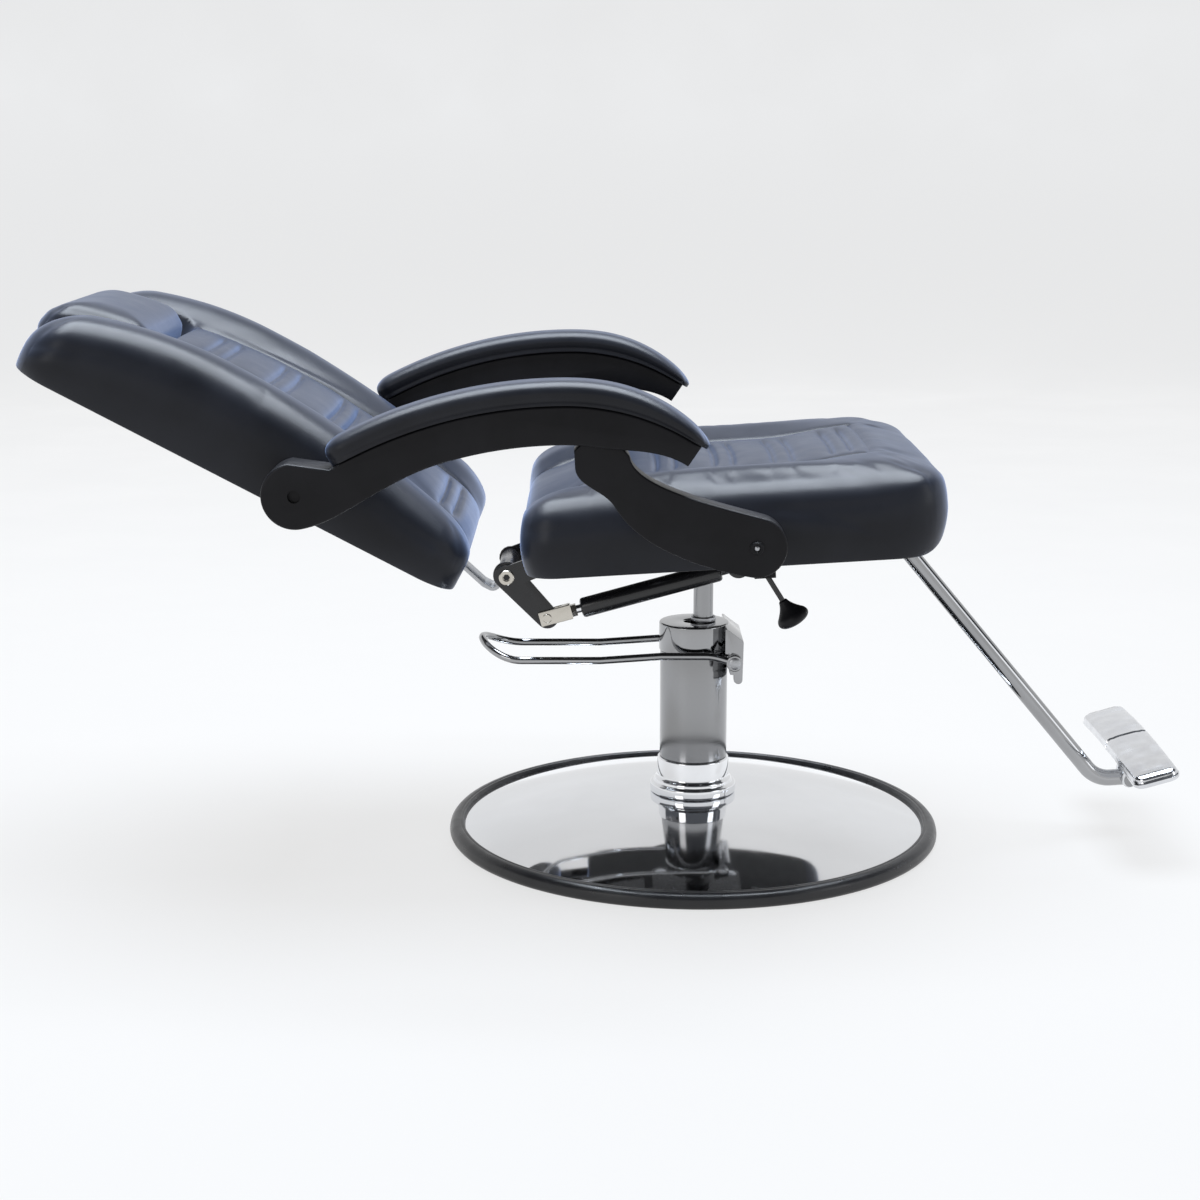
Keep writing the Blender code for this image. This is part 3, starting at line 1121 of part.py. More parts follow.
def headrest(carrier, looks):
    """A pillow on a board, with two posts that slide in the back's guides."""
    high = HEADREST_FOOT + HEADREST_LENGTH
    edge = BACK_HEAD + GAP
    along = [HEADREST_FOOT] + even(HEADREST_FOOT + HEADREST_EDGE, edge, 7)
    along += [edge + HEADREST_LIP_STEP, high - HEADREST_TOP_EDGE, high]
    wide = HEADREST_HALF_WIDTH
    inner = wide - HEADREST_SIDE_EDGE
    across = [-wide] + even(-inner, inner, 10) + [wide]
    shape = lattice((even(0, 1, 3), across, along))
    for vertex in shape.verts:
        share, y, a = vertex.co
        plan = rounded_plan(a, y, HEADREST_FOOT, high, wide, HEADREST_CORNER, HEADREST_CORNER)
        fall = HEADREST_FALL * ((a - HEADREST_FOOT) / HEADREST_LENGTH) ** 2
        crown = HEADREST_CREST - fall - roll(plan[2], HEADREST_ROLL_WIDTH, HEADREST_ROLL)
        rear = HEADREST_REAR - HEADREST_LIP * ease(a, edge, edge + HEADREST_LIP_STEP)
        centre = HEADREST_FOOT + HEADREST_LENGTH / 2
        pull = 1 - draw_in(share, SIDE_DRAW / 2) * (1 - ease(plan[2], 0, HEADREST_CORNER)) / wide
        vertex.co.x = rear + (crown - rear) * share
        vertex.co.y = plan[1] * pull
        vertex.co.z = centre + (plan[0] - centre) * pull
    cushion = add_shape("headrest_cushion", shape, carrier, Matrix(), looks["leather"])
    margin = HEADREST_BOARD_MARGIN
    low = Vector((HEADREST_REAR, margin - wide, HEADREST_FOOT + margin))
    top = Vector((HEADREST_REAR + HEADREST_BOARD, wide - margin, high - margin))
    block("headrest_board", low, top, carrier, looks["wood"])
    grow = Vector((GAP, GAP, GAP))
    pocket = block("headrest_pocket", low - grow - Vector((CUT_PAST, 0, 0)), top + grow, carrier, looks["wood"])
    combine(cushion, pocket)
    for side, name in ((-1, "headrest_post_right"), (1, "headrest_post_left")):
        place = move(HEADREST_REAR + HEADREST_BOARD / 2, side * POST_SPREAD)
        rod(name, POST_RADIUS, low.z - POST_LENGTH, low.z - GAP, carrier, place, looks["chrome"])
        bore(cushion, POST_RADIUS + GAP, 0, low.z + GAP, carrier, place, looks["leather"])


def arm_curve(along, lift):
    """A point on the arm: a distance along its seam from the crown, and a height over the seam."""
    bend = ARM_REAR_BEND if along < 0 else ARM_FRONT_BEND
    angle = along / bend
    x = ARM_CROWN[0] + (bend + lift) * math.sin(angle)
    return x, ARM_CROWN[1] - bend + (bend + lift) * math.cos(angle)


def arm_depth(along):
    narrow = ease(along, ARM_TAPER_FROM, ARM_SEAM_FRONT)
    return ARM_DEPTH - (ARM_DEPTH - ARM_NOSE_DEPTH) * narrow


def arm(carrier, side, name, looks):
    """A moulded arm, hollow underneath for its support, with a padded top."""
    seam = [arm_curve(s, 0) for s in even(ARM_SEAM_REAR, ARM_SEAM_FRONT, 21)]
    lower = [arm_curve(s, -arm_depth(s)) for s in even(ARM_SEAM_FRONT, ARM_LOWER_REAR, 12)]
    lobe_foot = arc((0, 0), ARM_LOBE, -80, -80, 1)[0]
    slope = Vector(lower[-1]) - Vector(lower[-2])
    leave = Vector(lower[-1]) + slope.normalized() * ARM_LOBE * 1.7
    arrive = Vector(lobe_foot) + Vector((0.985, 0.174)) * ARM_LOBE * 1.25
    sweep = bezier(lower[-1], leave, arrive, lobe_foot, 8)
    lobe = arc((0, 0), ARM_LOBE, -80, -260, 12)
    outline = seam + lower + sweep[1:-1] + lobe
    middle = move(y=side * SUPPORT_SIDE)
    body = slab("arm_body_" + name, outline[::-1], ARM_WIDTH, carrier, middle @ UPRIGHT, looks["black_plastic"])
    reach = abs(SUPPORT_SIDE) - ARM_WIDTH * 0.4
    spread = sorted((side * (BACK_HALF_WIDTH + 2 * GAP), side * reach))
    boss = rod("arm_boss_" + name, ARM_BOSS, *spread, carrier, ALONG_Y, looks["black_plastic"], ROUND)
    combine(body, boss, "UNION")
    roof = [arm_curve(s, -ARM_WALL) for s in even(ARM_CHANNEL_REAR, ARM_CHANNEL_FRONT, 10)]
    floor = [arm_curve(s, -2 * ARM_DEPTH) for s in even(ARM_CHANNEL_FRONT, ARM_CHANNEL_REAR, 10)]
    inside = SUPPORT_THICKNESS + 2 * ARM_CLEARANCE
    hollow = (roof + floor)[::-1]
    place = middle @ UPRIGHT
    combine(body, slab("arm_channel_" + name, hollow, inside, carrier, place, looks["black_plastic"]))
    pin = local(carrier, SUPPORT_PIN_AT)
    deep = inside / 2 + SUPPORT_PIN_REACH + GAP
    place = middle @ move(pin.x, 0, pin.z) @ ALONG_Y
    bore(body, SUPPORT_PIN + SUPPORT_PIN_PLAY, -deep, deep, carrier, place, looks["black_plastic"])
    depth = sorted((side * ARM_INNER * 0.8, side * (ARM_INNER + ARM_WIDTH * 0.6 + GAP)))
    bore(body, ARM_BOLT + GAP, *depth, carrier, ALONG_Y, looks["black_plastic"])
    arm_pad(carrier, side, name, looks)


def arm_pad(carrier, side, name, looks):
    low = ARM_SEAM_REAR + PAD_REAR
    high = ARM_SEAM_FRONT + PAD_NOSE
    half = ARM_WIDTH / 2 + PAD_OVERHANG
    along = [low, low + PAD_EDGE] + even(low + PAD_END, high - PAD_END, 20) + [high - PAD_EDGE, high]
    positive = [0.0, half - PAD_ROLL_WIDTH, half - PAD_ROLL_WIDTH * 0.5, half - PAD_ROLL_WIDTH * 0.15, half]
    across = [-y for y in reversed(positive[1:])] + positive
    shape = lattice((along, across, even(0, 1, 2)))
    for vertex in shape.verts:
        s, y, share = vertex.co
        plan = rounded_plan(s, y, low, high, half, half * 0.8, half * 0.8)
        taper = max(0.0, (s - PAD_TAPER_FROM) / (high - PAD_TAPER_FROM)) ** 2
        full = PAD_HEIGHT - (PAD_HEIGHT - PAD_NOSE_HEIGHT) * taper
        top = full - roll(plan[2], PAD_ROLL_WIDTH, PAD_ROLL_DROP * full / PAD_HEIGHT)
        x, z = arm_curve(plan[0], GAP + top * share)
        vertex.co = (x, plan[1], z)
    add_shape("arm_pad_" + name, shape, carrier, move(y=side * SUPPORT_SIDE), looks["pad"])


def arm_support(carrier, side, name, looks):
    """A flat curved arm from the seat's pivot screw up into the arm's hollow."""
    pin = local(carrier, SUPPORT_PIN_AT)
    top = (pin.x, pin.z)
    outline = arc((0, 0), SUPPORT_LOBE, -100, 75, 14)
    leave = Vector(outline[-1]) + Vector((-0.966, 0.259)) * SUPPORT_LOBE * 1.8
    arrive = Vector(SUPPORT_NECK_FRONT) + Vector((0.15, -1.0)) * SUPPORT_LOBE
    outline += bezier(outline[-1], leave, arrive, SUPPORT_NECK_FRONT, 8)[1:]
    outline += arc(top, SUPPORT_PIN_LOBE, -20, 200, 10)
    outline += [SUPPORT_NECK_REAR]
    outline += bezier(SUPPORT_HEEL, HEEL_LEAVE, WAIST_ARRIVE, SUPPORT_WAIST, 5)
    arrive = Vector(outline[0]) + Vector((-0.985, 0.174)) * SUPPORT_LOBE * 1.7
    outline += bezier(SUPPORT_WAIST, WAIST_LEAVE, arrive, outline[0], 8)[1:-1]
    middle = move(y=side * SUPPORT_SIDE)
    place = middle @ UPRIGHT
    body = slab("arm_support_" + name, outline, SUPPORT_THICKNESS, carrier, place, looks["black_plastic"])
    spread = sorted((side * (SEAT_HALF_WIDTH + 2 * GAP), side * SUPPORT_SIDE))
    boss = rod("support_boss_" + name, ARM_BOSS, *spread, carrier, ALONG_Y, looks["black_plastic"], ROUND)
    combine(body, boss, "UNION")
    bore(body, SUPPORT_SCREW + GAP, -1, 1, carrier, ALONG_Y, looks["black_plastic"])
    place = middle @ move(pin.x, 0, pin.z) @ ALONG_Y
    half = SUPPORT_THICKNESS / 2 + ARM_CLEARANCE + SUPPORT_PIN_REACH
    bore(body, SUPPORT_PIN + GAP, -half, half, carrier, place, looks["black_plastic"])
    headed_pin("support_pin_" + name, SUPPORT_PIN, -half, half, carrier, place, looks["steel"])


def palette():
    return {
        "chrome": finish("chrome", (0.85, 0.86, 0.88), 1.0, 0.06),
        "satin_chrome": finish("satin_chrome", (0.70, 0.71, 0.73), 1.0, 0.28),
        "nickel": finish("nickel_plate", (0.72, 0.71, 0.68), 1.0, 0.30),
        "aluminium": finish("cast_aluminium", (0.80, 0.81, 0.83), 1.0, 0.22),
        "steel": finish("plain_steel", (0.45, 0.46, 0.48), 1.0, 0.40),
        "black_steel": finish("black_steel", (0.02, 0.02, 0.022), 0.3, 0.40),
        "black_plastic": finish("black_plastic", (0.018, 0.018, 0.020), 0.0, 0.45),
        "rubber": finish("black_rubber", (0.015, 0.015, 0.016), 0.0, 0.60),
        "leather": finish("black_leather", (0.020, 0.020, 0.024), 0.0, 0.30),
        "pad": finish("arm_pad_leather", (0.020, 0.020, 0.022), 0.0, 0.42),
        "wood": finish("plywood", (0.52, 0.38, 0.22), 0.0, 0.70),
    }


def main():
    start()
    looks = palette()
    base = axis_empty("base_axis", Matrix())
    lever = axis_empty("lever_axis", move(LEVER_PIVOT_FORWARD, 0, LEVER_PIVOT_HEIGHT), base)
    ram = axis_empty("ram_axis", move(ROD_OFFSET), base)
    seat = axis_empty("swivel_axis", turned_about_y(ROD_OFFSET, SEAT_HEIGHT, SEAT_TILT), ram)
    back = axis_empty("recline_axis", turned_about_y(*RECLINE_PIVOT, 90 - BACK_ANGLE), seat)
    head = axis_empty("headrest_axis", back.matrix_basis.copy(), back)
    crank = crank_end()
    reach = Vector(SPRING_ANCHOR) - Vector(crank)
    spring_angle = math.degrees(math.atan2(reach[1], reach[0]))
    spring = axis_empty("clevis_axis", turned_about_y(*crank, spring_angle, SPRING_SIDE), back)
    cylinder = axis_empty("spring_axis", spring.matrix_basis.copy(), spring)
    release = axis_empty("release_axis", turned_about_y(*RELEASE_AT, RELEASE_ANGLE, RELEASE_SIDE), seat)
    pin = seat.matrix_basis @ stem_corners(seat)[4]
    foot = axis_empty("footplate_axis", turned_about_y(pin.x, pin.z, FOOT_TILT), seat)
    base_pieces(base, looks)
    pump_head(base, looks)
    pump_lever(lever, looks)
    ram_pieces(ram, looks)
    seat_drive(seat, looks)
    seat_shell(seat, looks)
    hinge_pieces(seat, looks)
    spring_anchor(seat, looks)
    release_bracket(seat, looks)
    footrest(seat, looks)
    back_shell(back, looks)
    recline_pieces(back, looks)
    headrest(head, looks)
    spring_rod_pieces(spring, looks)
    spring_cylinder(cylinder, reach.length, looks)
    release_handle(release, looks)
    footplate(foot, looks)
    for side, name in ((-1, "right"), (1, "left")):
        arm_axis = axis_empty("arm_axis_" + name, turned_about_y(*ARM_PIVOT), back)
        arm(arm_axis, side, name, looks)
        support_axis = axis_empty("support_axis_" + name, turned_about_y(*SUPPORT_PIVOT), seat)
        arm_support(support_axis, side, name, looks)


if __name__ == "__main__":
    main()
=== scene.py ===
"""Looks of the reclining barber chair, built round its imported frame."""

import json
import math

import bmesh
import bpy
import numpy as np
from bpy.props import FloatProperty, FloatVectorProperty, PointerProperty
from mathutils import Matrix, Vector, noise
from mathutils.geometry import interpolate_bezier


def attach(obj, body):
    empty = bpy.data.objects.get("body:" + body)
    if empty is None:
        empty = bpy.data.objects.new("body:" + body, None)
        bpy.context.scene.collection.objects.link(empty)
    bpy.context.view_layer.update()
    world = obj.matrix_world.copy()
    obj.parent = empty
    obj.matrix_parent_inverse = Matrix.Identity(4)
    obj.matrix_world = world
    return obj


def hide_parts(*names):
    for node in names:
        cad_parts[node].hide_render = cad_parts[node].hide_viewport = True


bl_info = {
    "name": "Reclining Barber Chair",
    "version": (1, 0, 0),
    "blender": (4, 5, 0),
    "location": "View3D > Sidebar > Chair",
    "description": "Dresses the chair's frame with upholstery, metalwork and a studio",
    "category": "Object",
}

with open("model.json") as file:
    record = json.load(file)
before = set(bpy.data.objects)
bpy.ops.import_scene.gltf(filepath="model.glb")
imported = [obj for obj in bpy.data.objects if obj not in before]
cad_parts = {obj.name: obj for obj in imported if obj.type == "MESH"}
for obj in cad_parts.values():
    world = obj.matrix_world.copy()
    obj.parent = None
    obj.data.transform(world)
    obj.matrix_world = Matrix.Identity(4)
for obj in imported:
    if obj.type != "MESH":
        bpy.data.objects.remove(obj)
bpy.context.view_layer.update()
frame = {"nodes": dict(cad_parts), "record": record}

# Joint places, forward and up from the floor at the centre of the base
RECLINE_PIVOT = (-0.225, 0.330)
ARM_PIVOT = (-0.440, 0.467)
SUPPORT_PIVOT = (0.054, 0.410)
SUPPORT_PIN_AT = (-0.112, 0.538)
CRANK_END = (-0.17726, 0.278805)
RELEASE_AT = (0.070, 0.364)
FOOT_PIN_AT = (0.535358, 0.066321)
LEVER_PIVOT = (0.047, 0.2223)

# Sizes that several pieces share
SPRING_SIDE = -0.050
RELEASE_SIDE = -0.200
ROD_OFFSET = 0.011
ARM_SIDE = 0.284
ARM_WIDTH = 0.052
SUPPORT_THICKNESS = 0.034
GAP = 0.0003
PIN_BORE = 0.0043
SCREW_BORE = 0.0055
ARM_BOLT_BORE = 0.0064
BARREL_BORE = 0.0118

# How meshes are joined and shaded
MERGE_DISTANCE = 0.00001
SHARP_EDGE = math.radians(32)


def place(x, z, angle=0.0, y=0.0):
    """A place whose X axis points an angle above the horizontal."""
    return Matrix.Translation((x, y, z)) @ Matrix.Rotation(math.radians(-angle), 4, "Y")


ALONG_Y = Matrix.Rotation(math.radians(-90), 4, "X")
ALONG_X = Matrix.Rotation(math.radians(90), 4, "Y")
UPRIGHT = Matrix.Rotation(math.radians(90), 4, "X")
SEAT = place(ROD_OFFSET, 0.3725, 3.4)
BACK = place(*RECLINE_PIVOT, 62.1)
SPRING = place(*CRANK_END, 15.305, SPRING_SIDE)
RELEASE = place(*RELEASE_AT, -58.0, RELEASE_SIDE)
FOOT = place(*FOOT_PIN_AT, 16.0)


class UpholsterySettings(bpy.types.PropertyGroup):
    """Sizes and colour of the padded pieces."""

    leather_colour: FloatVectorProperty(
        name="Leather", description="Colour of the coated leather", subtype="COLOR", size=3,
        default=(0.014, 0.0152, 0.020), min=0.0, max=1.0,
    )
    tuck_depth: FloatProperty(
        name="Tuck Depth", description="Depth of the sewn tucks in the seat and back",
        default=0.006, min=0.0, max=0.012, unit="LENGTH",
    )
    swell: FloatProperty(
        name="Swell", description="The most that the stuffing swells a cover",
        default=0.007, min=0.0, max=0.02, unit="LENGTH",
    )


class MetalSettings(bpy.types.PropertyGroup):
    """Colours of the plated, painted and moulded pieces."""

    chrome_colour: FloatVectorProperty(
        name="Chrome", description="Colour of the mirror plating", subtype="COLOR", size=3,
        default=(0.85, 0.86, 0.88), min=0.0, max=1.0,
    )
    plastic_colour: FloatVectorProperty(
        name="Moulding", description="Colour of the moulded arms and handle", subtype="COLOR", size=3,
        default=(0.009, 0.009, 0.011), min=0.0, max=1.0,
    )


class StageSettings(bpy.types.PropertyGroup):
    """Studio floor and lamps."""

    floor_colour: FloatVectorProperty(
        name="Floor", description="Colour of the studio floor", subtype="COLOR", size=3,
        default=(0.062, 0.062, 0.062), min=0.0, max=1.0,
    )
    lamp_power: FloatProperty(
        name="Lamp Power", description="Power of the overhead softbox", default=560.0, min=0.0, unit="POWER"
    )


looks = {}


def wire(tree, start, socket, end, target):
    tree.links.new(start.outputs[socket], end.inputs[target])


def finish(name, colour, metallic, roughness, scratch, **uniform):
    """A Principled material whose gloss varies between two levels. Scratch is the pattern's scale."""
    made = bpy.data.materials.new(name)
    made.use_nodes = True
    tree = made.node_tree
    shader = tree.nodes["Principled BSDF"]
    shader.inputs["Base Color"].default_value = (*colour, 1.0)
    shader.inputs["Metallic"].default_value = metallic
    for socket, value in uniform.items():
        shader.inputs[socket.replace("_", " ").title().replace("Ior", "IOR")].default_value = value
    where = tree.nodes.new("ShaderNodeTexCoord")
    spread = tree.nodes.new("ShaderNodeMapping")
    wire(tree, where, "Object", spread, "Vector")
    gloss = tree.nodes.new("ShaderNodeTexNoise")
    gloss.inputs["Scale"].default_value = scratch
    gloss.inputs["Detail"].default_value = 6.0
    wire(tree, spread, "Vector", gloss, "Vector")
    band = tree.nodes.new("ShaderNodeMapRange")
    band.inputs["From Min"].default_value = 0.3
    band.inputs["From Max"].default_value = 0.7
    band.inputs["To Min"].default_value = roughness[0]
    band.inputs["To Max"].default_value = roughness[1]
    wire(tree, gloss, "Fac", band, "Value")
    wire(tree, band, "Result", shader, "Roughness")
    looks[name] = made
    return made, spread


def shade(made, low, high, scale):
    """Lets the colour drift between two tones over a few centimetres."""
    tree = made.node_tree
    shader = tree.nodes["Principled BSDF"]
    where = tree.nodes["Texture Coordinate"]
    drift = tree.nodes.new("ShaderNodeTexNoise")
    drift.inputs["Scale"].default_value = scale
    drift.inputs["Detail"].default_value = 4.0
    wire(tree, where, "Object", drift, "Vector")
    ramp = tree.nodes.new("ShaderNodeValToRGB")
    ramp.color_ramp.elements[0].position = 0.35
    ramp.color_ramp.elements[0].color = (*low, 1.0)
    ramp.color_ramp.elements[1].position = 0.65
    ramp.color_ramp.elements[1].color = (*high, 1.0)
    wire(tree, drift, "Fac", ramp, "Fac")
    wire(tree, ramp, "Color", shader, "Base Color")


def relief(made, scale, depth, cells=False, stretch=None):
    """Adds a fine surface relief: cells like leather grain, or an even texture. Depth in metres."""
    tree = made.node_tree
    shader = tree.nodes["Principled BSDF"]
    where = tree.nodes["Texture Coordinate"]
    spread = tree.nodes.new("ShaderNodeMapping")
    if stretch:
        spread.inputs["Scale"].default_value = stretch
    wire(tree, where, "Object", spread, "Vector")
    if cells:
        pattern = tree.nodes.new("ShaderNodeTexVoronoi")
        pattern.feature = "DISTANCE_TO_EDGE"
        output = "Distance"
    else:
        pattern = tree.nodes.new("ShaderNodeTexNoise")
        pattern.inputs["Detail"].default_value = 5.0
        output = "Fac"
    pattern.inputs["Scale"].default_value = scale
    wire(tree, spread, "Vector", pattern, "Vector")
    bump = tree.nodes.new("ShaderNodeBump")
    bump.inputs["Distance"].default_value = depth
    bump.inputs["Strength"].default_value = 0.6
    wire(tree, pattern, output, bump, "Height")
    earlier = shader.inputs["Normal"].links
    if earlier:
        wire(tree, earlier[0].from_node, "Normal", bump, "Normal")
    wire(tree, bump, "Normal", shader, "Normal")


def tint(colour, share):
    return tuple(min(1.0, c * share) for c in colour)


class CHAIR_OT_finishes(bpy.types.Operator):
    """Makes the leather, plating, paint and mouldings, and paints the frame's own nodes"""

    bl_idname = "chair.finishes"
    bl_label = "Finishes"

    def execute(self, context):
        metal = context.scene.chair_metal
        hide = tuple(context.scene.chair_upholstery.leather_colour)
        chrome = tuple(metal.chrome_colour)
        moulded = tuple(metal.plastic_colour)
        # The sheen's blue tint is painted reflection: it stands in for bluish light glancing off the leather
        # and arm pads.
        painted_blue_sheen = {"sheen_weight": 0.45, "sheen_roughness": 0.35, "sheen_tint": (0.45, 0.60, 1.0, 1.0)}
        made, _ = finish("leather", hide, 0.0, (0.30, 0.37), 34.0, specular_ior_level=0.24, **painted_blue_sheen)
        shade(made, tint(hide, 0.8), tint(hide, 1.35), 9.0)
        relief(made, 850.0, 0.00003, cells=True)
        skin = tint(hide, 0.9)
        made, _ = finish("arm_skin", skin, 0.0, (0.32, 0.40), 40.0, specular_ior_level=0.26, **painted_blue_sheen)
        shade(made, tint(hide, 0.75), tint(hide, 1.2), 14.0)
        relief(made, 900.0, 0.00006, cells=True)
        made, _ = finish("back_vinyl", tint(hide, 0.8), 0.0, (0.42, 0.55), 50.0)
        relief(made, 420.0, 0.00006, cells=True)
        made, _ = finish("dust_cloth", (0.012, 0.012, 0.013), 0.0, (0.8, 0.95), 80.0, sheen_weight=0.2)
        relief(made, 700.0, 0.0003)
        made, _ = finish("moulded", moulded, 0.0, (0.34, 0.46), 60.0, specular_ior_level=0.20)
        shade(made, tint(moulded, 0.85), tint(moulded, 1.25), 20.0)
        relief(made, 1500.0, 0.0001)
        made, _ = finish("mirror_chrome", chrome, 1.0, (0.035, 0.085), 18.0)
        shade(made, tint(chrome, 0.96), tint(chrome, 1.03), 6.0)
        made, _ = finish("bar_chrome", tint(chrome, 0.46), 1.0, (0.05, 0.11), 18.0)
        shade(made, tint(chrome, 0.42), tint(chrome, 0.50), 6.0)
        made, spread = finish("satin_chrome", tint(chrome, 0.38), 1.0, (0.12, 0.18), 6.0)
        spread.inputs["Scale"].default_value = (1.0, 1.0, 60.0)
        relief(made, 9.0, 0.00001, stretch=(1.0, 1.0, 90.0))
        made, _ = finish("nickel", (0.62, 0.59, 0.53), 1.0, (0.20, 0.26), 90.0)
        relief(made, 260.0, 0.00001)
        made, _ = finish("cast_aluminium", (0.74, 0.75, 0.78), 1.0, (0.10, 0.28), 45.0)
        shade(made, (0.68, 0.69, 0.72), (0.80, 0.81, 0.83), 30.0)
        relief(made, 140.0, 0.0001)
        made, _ = finish("plain_steel", (0.46, 0.47, 0.49), 1.0, (0.24, 0.42), 120.0)
        relief(made, 300.0, 0.00008, stretch=(1.0, 8.0, 1.0))
        lacquer = {"coat_weight": 0.2, "coat_roughness": 0.15}
        made, _ = finish("black_paint", (0.011, 0.011, 0.013), 0.0, (0.20, 0.30), 70.0, **lacquer)
        relief(made, 420.0, 0.00002)
        made, _ = finish("rubber", (0.014, 0.014, 0.016), 0.0, (0.26, 0.38), 55.0)
        shade(made, (0.010, 0.010, 0.012), (0.018, 0.018, 0.020), 25.0)
        relief(made, 800.0, 0.00003)
        made, _ = finish("plywood", (0.50, 0.36, 0.21), 0.0, (0.55, 0.75), 30.0)
        shade(made, (0.40, 0.27, 0.15), (0.58, 0.43, 0.27), 60.0)
        relief(made, 40.0, 0.0003, stretch=(1.0, 14.0, 14.0))
        by_slot = {
            "chrome": "mirror_chrome", "satin_chrome": "satin_chrome", "nickel": "nickel", "rubber": "rubber",
            "cast_aluminium": "cast_aluminium", "steel": "plain_steel", "black_steel": "black_paint",
            "black_plastic": "moulded", "leather": "leather", "pad": "arm_skin", "plywood": "plywood",
        }
        for part in frame["record"]["subparts"]:
            mesh = frame["nodes"][part["node"]].data
            mesh.materials.clear()
            mesh.materials.append(looks[by_slot[part["material_slot"]]])
        return {"FINISHED"}


def ease(value, low, high):
    """Runs smoothly from 0 at low to 1 at high."""
    share = min(max((value - low) / (high - low), 0.0), 1.0)
    return share * share * (3 - 2 * share)


def even(low, high, count):
    return [low + (high - low) * i / count for i in range(count + 1)]


def arc(centre, radius, first, last, steps):
    angles = [math.radians(first + (last - first) * i / steps) for i in range(steps + 1)]
    return [(centre[0] + radius * math.cos(a), centre[1] + radius * math.sin(a)) for a in angles]


def bezier(start_at, leave, arrive, end_at, steps):
    points = interpolate_bezier(*[Vector(p) for p in (start_at, leave, arrive, end_at)], steps + 1)
    return [tuple(p) for p in points]


def softened(corners, radius, steps=3, closed=True):
    """An outline with each corner rounded, by less where its sides are short."""
    count = len(corners)
    points = []
    for i, corner in enumerate(corners):
        if not closed and i in (0, count - 1):
            points.append(tuple(corner))
            continue
        here = Vector(corner)
        before = Vector(corners[i - 1]) - here
        after = Vector(corners[(i + 1) % count]) - here
        reach = min(radius, before.length * 0.45, after.length * 0.45)
        first = here + before.normalized() * reach
        last = here + after.normalized() * reach
        points += bezier(first, first.lerp(here, 0.55), last.lerp(here, 0.55), last, steps)
    return points


def link_outline(first, first_radius, second, second_radius, steps=20):
    """Two rounds joined by straight flanks."""
    span = Vector(second) - Vector(first)
    heading = math.degrees(math.atan2(span[1], span[0]))
    flank = math.degrees(math.acos((first_radius - second_radius) / span.length))
    far = arc(second, second_radius, heading - flank, heading + flank, steps)
    return far + arc(first, first_radius, heading + flank, heading + 360 - flank, steps)


def bent_path(corners, radius, steps=10):
    """A path through corners, each rounded to a bend radius."""
    corners = [Vector(corner) for corner in corners]
    path = [corners[0]]
    for before, corner, after in zip(corners, corners[1:], corners[2:]):
        back = (before - corner).normalized()
        ahead = (after - corner).normalized()
        turn = math.pi - back.angle(ahead)
        centre = corner + (back + ahead).normalized() * radius / math.cos(turn / 2)
        spoke = corner + back * radius * math.tan(turn / 2) - centre
        for i in range(steps + 1):
            path.append(centre + Matrix.Rotation(turn * i / steps, 3, ahead.cross(back)) @ spoke)
    path.append(corners[-1])
    return path


def spun(profile, ring=False, segments=96):
    """A turned shape about Z from radius and height pairs."""
    shape = bmesh.new()
    verts = [shape.verts.new((radius, 0, height)) for radius, height in profile]
    edges = [shape.edges.new(pair) for pair in zip(verts, verts[1:])]
    if ring:
        edges.append(shape.edges.new((verts[-1], verts[0])))
    bmesh.ops.spin(
        shape, geom=verts + edges, cent=(0, 0, 0), axis=(0, 0, 1),
        angle=math.tau, steps=segments, use_merge=True,
    )
    bmesh.ops.remove_doubles(shape, verts=shape.verts, dist=MERGE_DISTANCE)
    return shape


def bar(radius, start, end, segments=32):
    """A plain round bar or drill about Z, between two heights."""
    return spun([(0, start), (radius, start), (radius, end), (0, end)], segments=segments)


def both_ends(profile):
    """A turned profile and its mirror image, for a pin with like ends."""
    return profile + [(radius, -height) for radius, height in reversed(profile)]


def plate(outline, thickness, edge=0.0008, steps=2):
    """A flat outline with a thickness centred on its plane and softened edges."""
    shape = bmesh.new()
    face = shape.faces.new([shape.verts.new((x, y, -thickness / 2)) for x, y in outline])
    grown = bmesh.ops.extrude_face_region(shape, geom=[face], use_keep_orig=True)
    moved = [v for v in grown["geom"] if isinstance(v, bmesh.types.BMVert)]
    bmesh.ops.translate(shape, verts=moved, vec=(0, 0, thickness))
    bmesh.ops.recalc_face_normals(shape, faces=shape.faces)
    if edge:
        rims = [e for e in shape.edges if abs(e.verts[0].co.z - e.verts[1].co.z) < thickness / 2]
        bmesh.ops.bevel(
            shape, geom=rims, offset=edge, affect="EDGES", segments=steps,
            profile=0.5, material=-1, clamp_overlap=True,
        )
    return shape


def tube(path, radius, sides=7):
    """A round bar along a path with flat ends."""
    curve = bpy.data.curves.new("bar", "CURVE")
    curve.dimensions = "3D"
    curve.bevel_depth = radius
    curve.bevel_resolution = sides
    curve.use_fill_caps = True
    line = curve.splines.new("POLY")
    line.points.add(len(path) - 1)
    for point, spot in zip(line.points, path):
        point.co = (*spot, 1)
    holder = bpy.data.objects.new("bar", curve)
    bpy.context.scene.collection.objects.link(holder)
    mesh = bpy.data.meshes.new_from_object(holder.evaluated_get(bpy.context.evaluated_depsgraph_get()))
    bpy.data.objects.remove(holder)
    bpy.data.curves.remove(curve)
    shape = bmesh.new()
    shape.from_mesh(mesh)
    bpy.data.meshes.remove(mesh)
    bmesh.ops.remove_doubles(shape, verts=shape.verts, dist=MERGE_DISTANCE)
    return shape


def turn(shape, matrix):
    bmesh.ops.transform(shape, matrix=matrix, verts=shape.verts)
    return shape


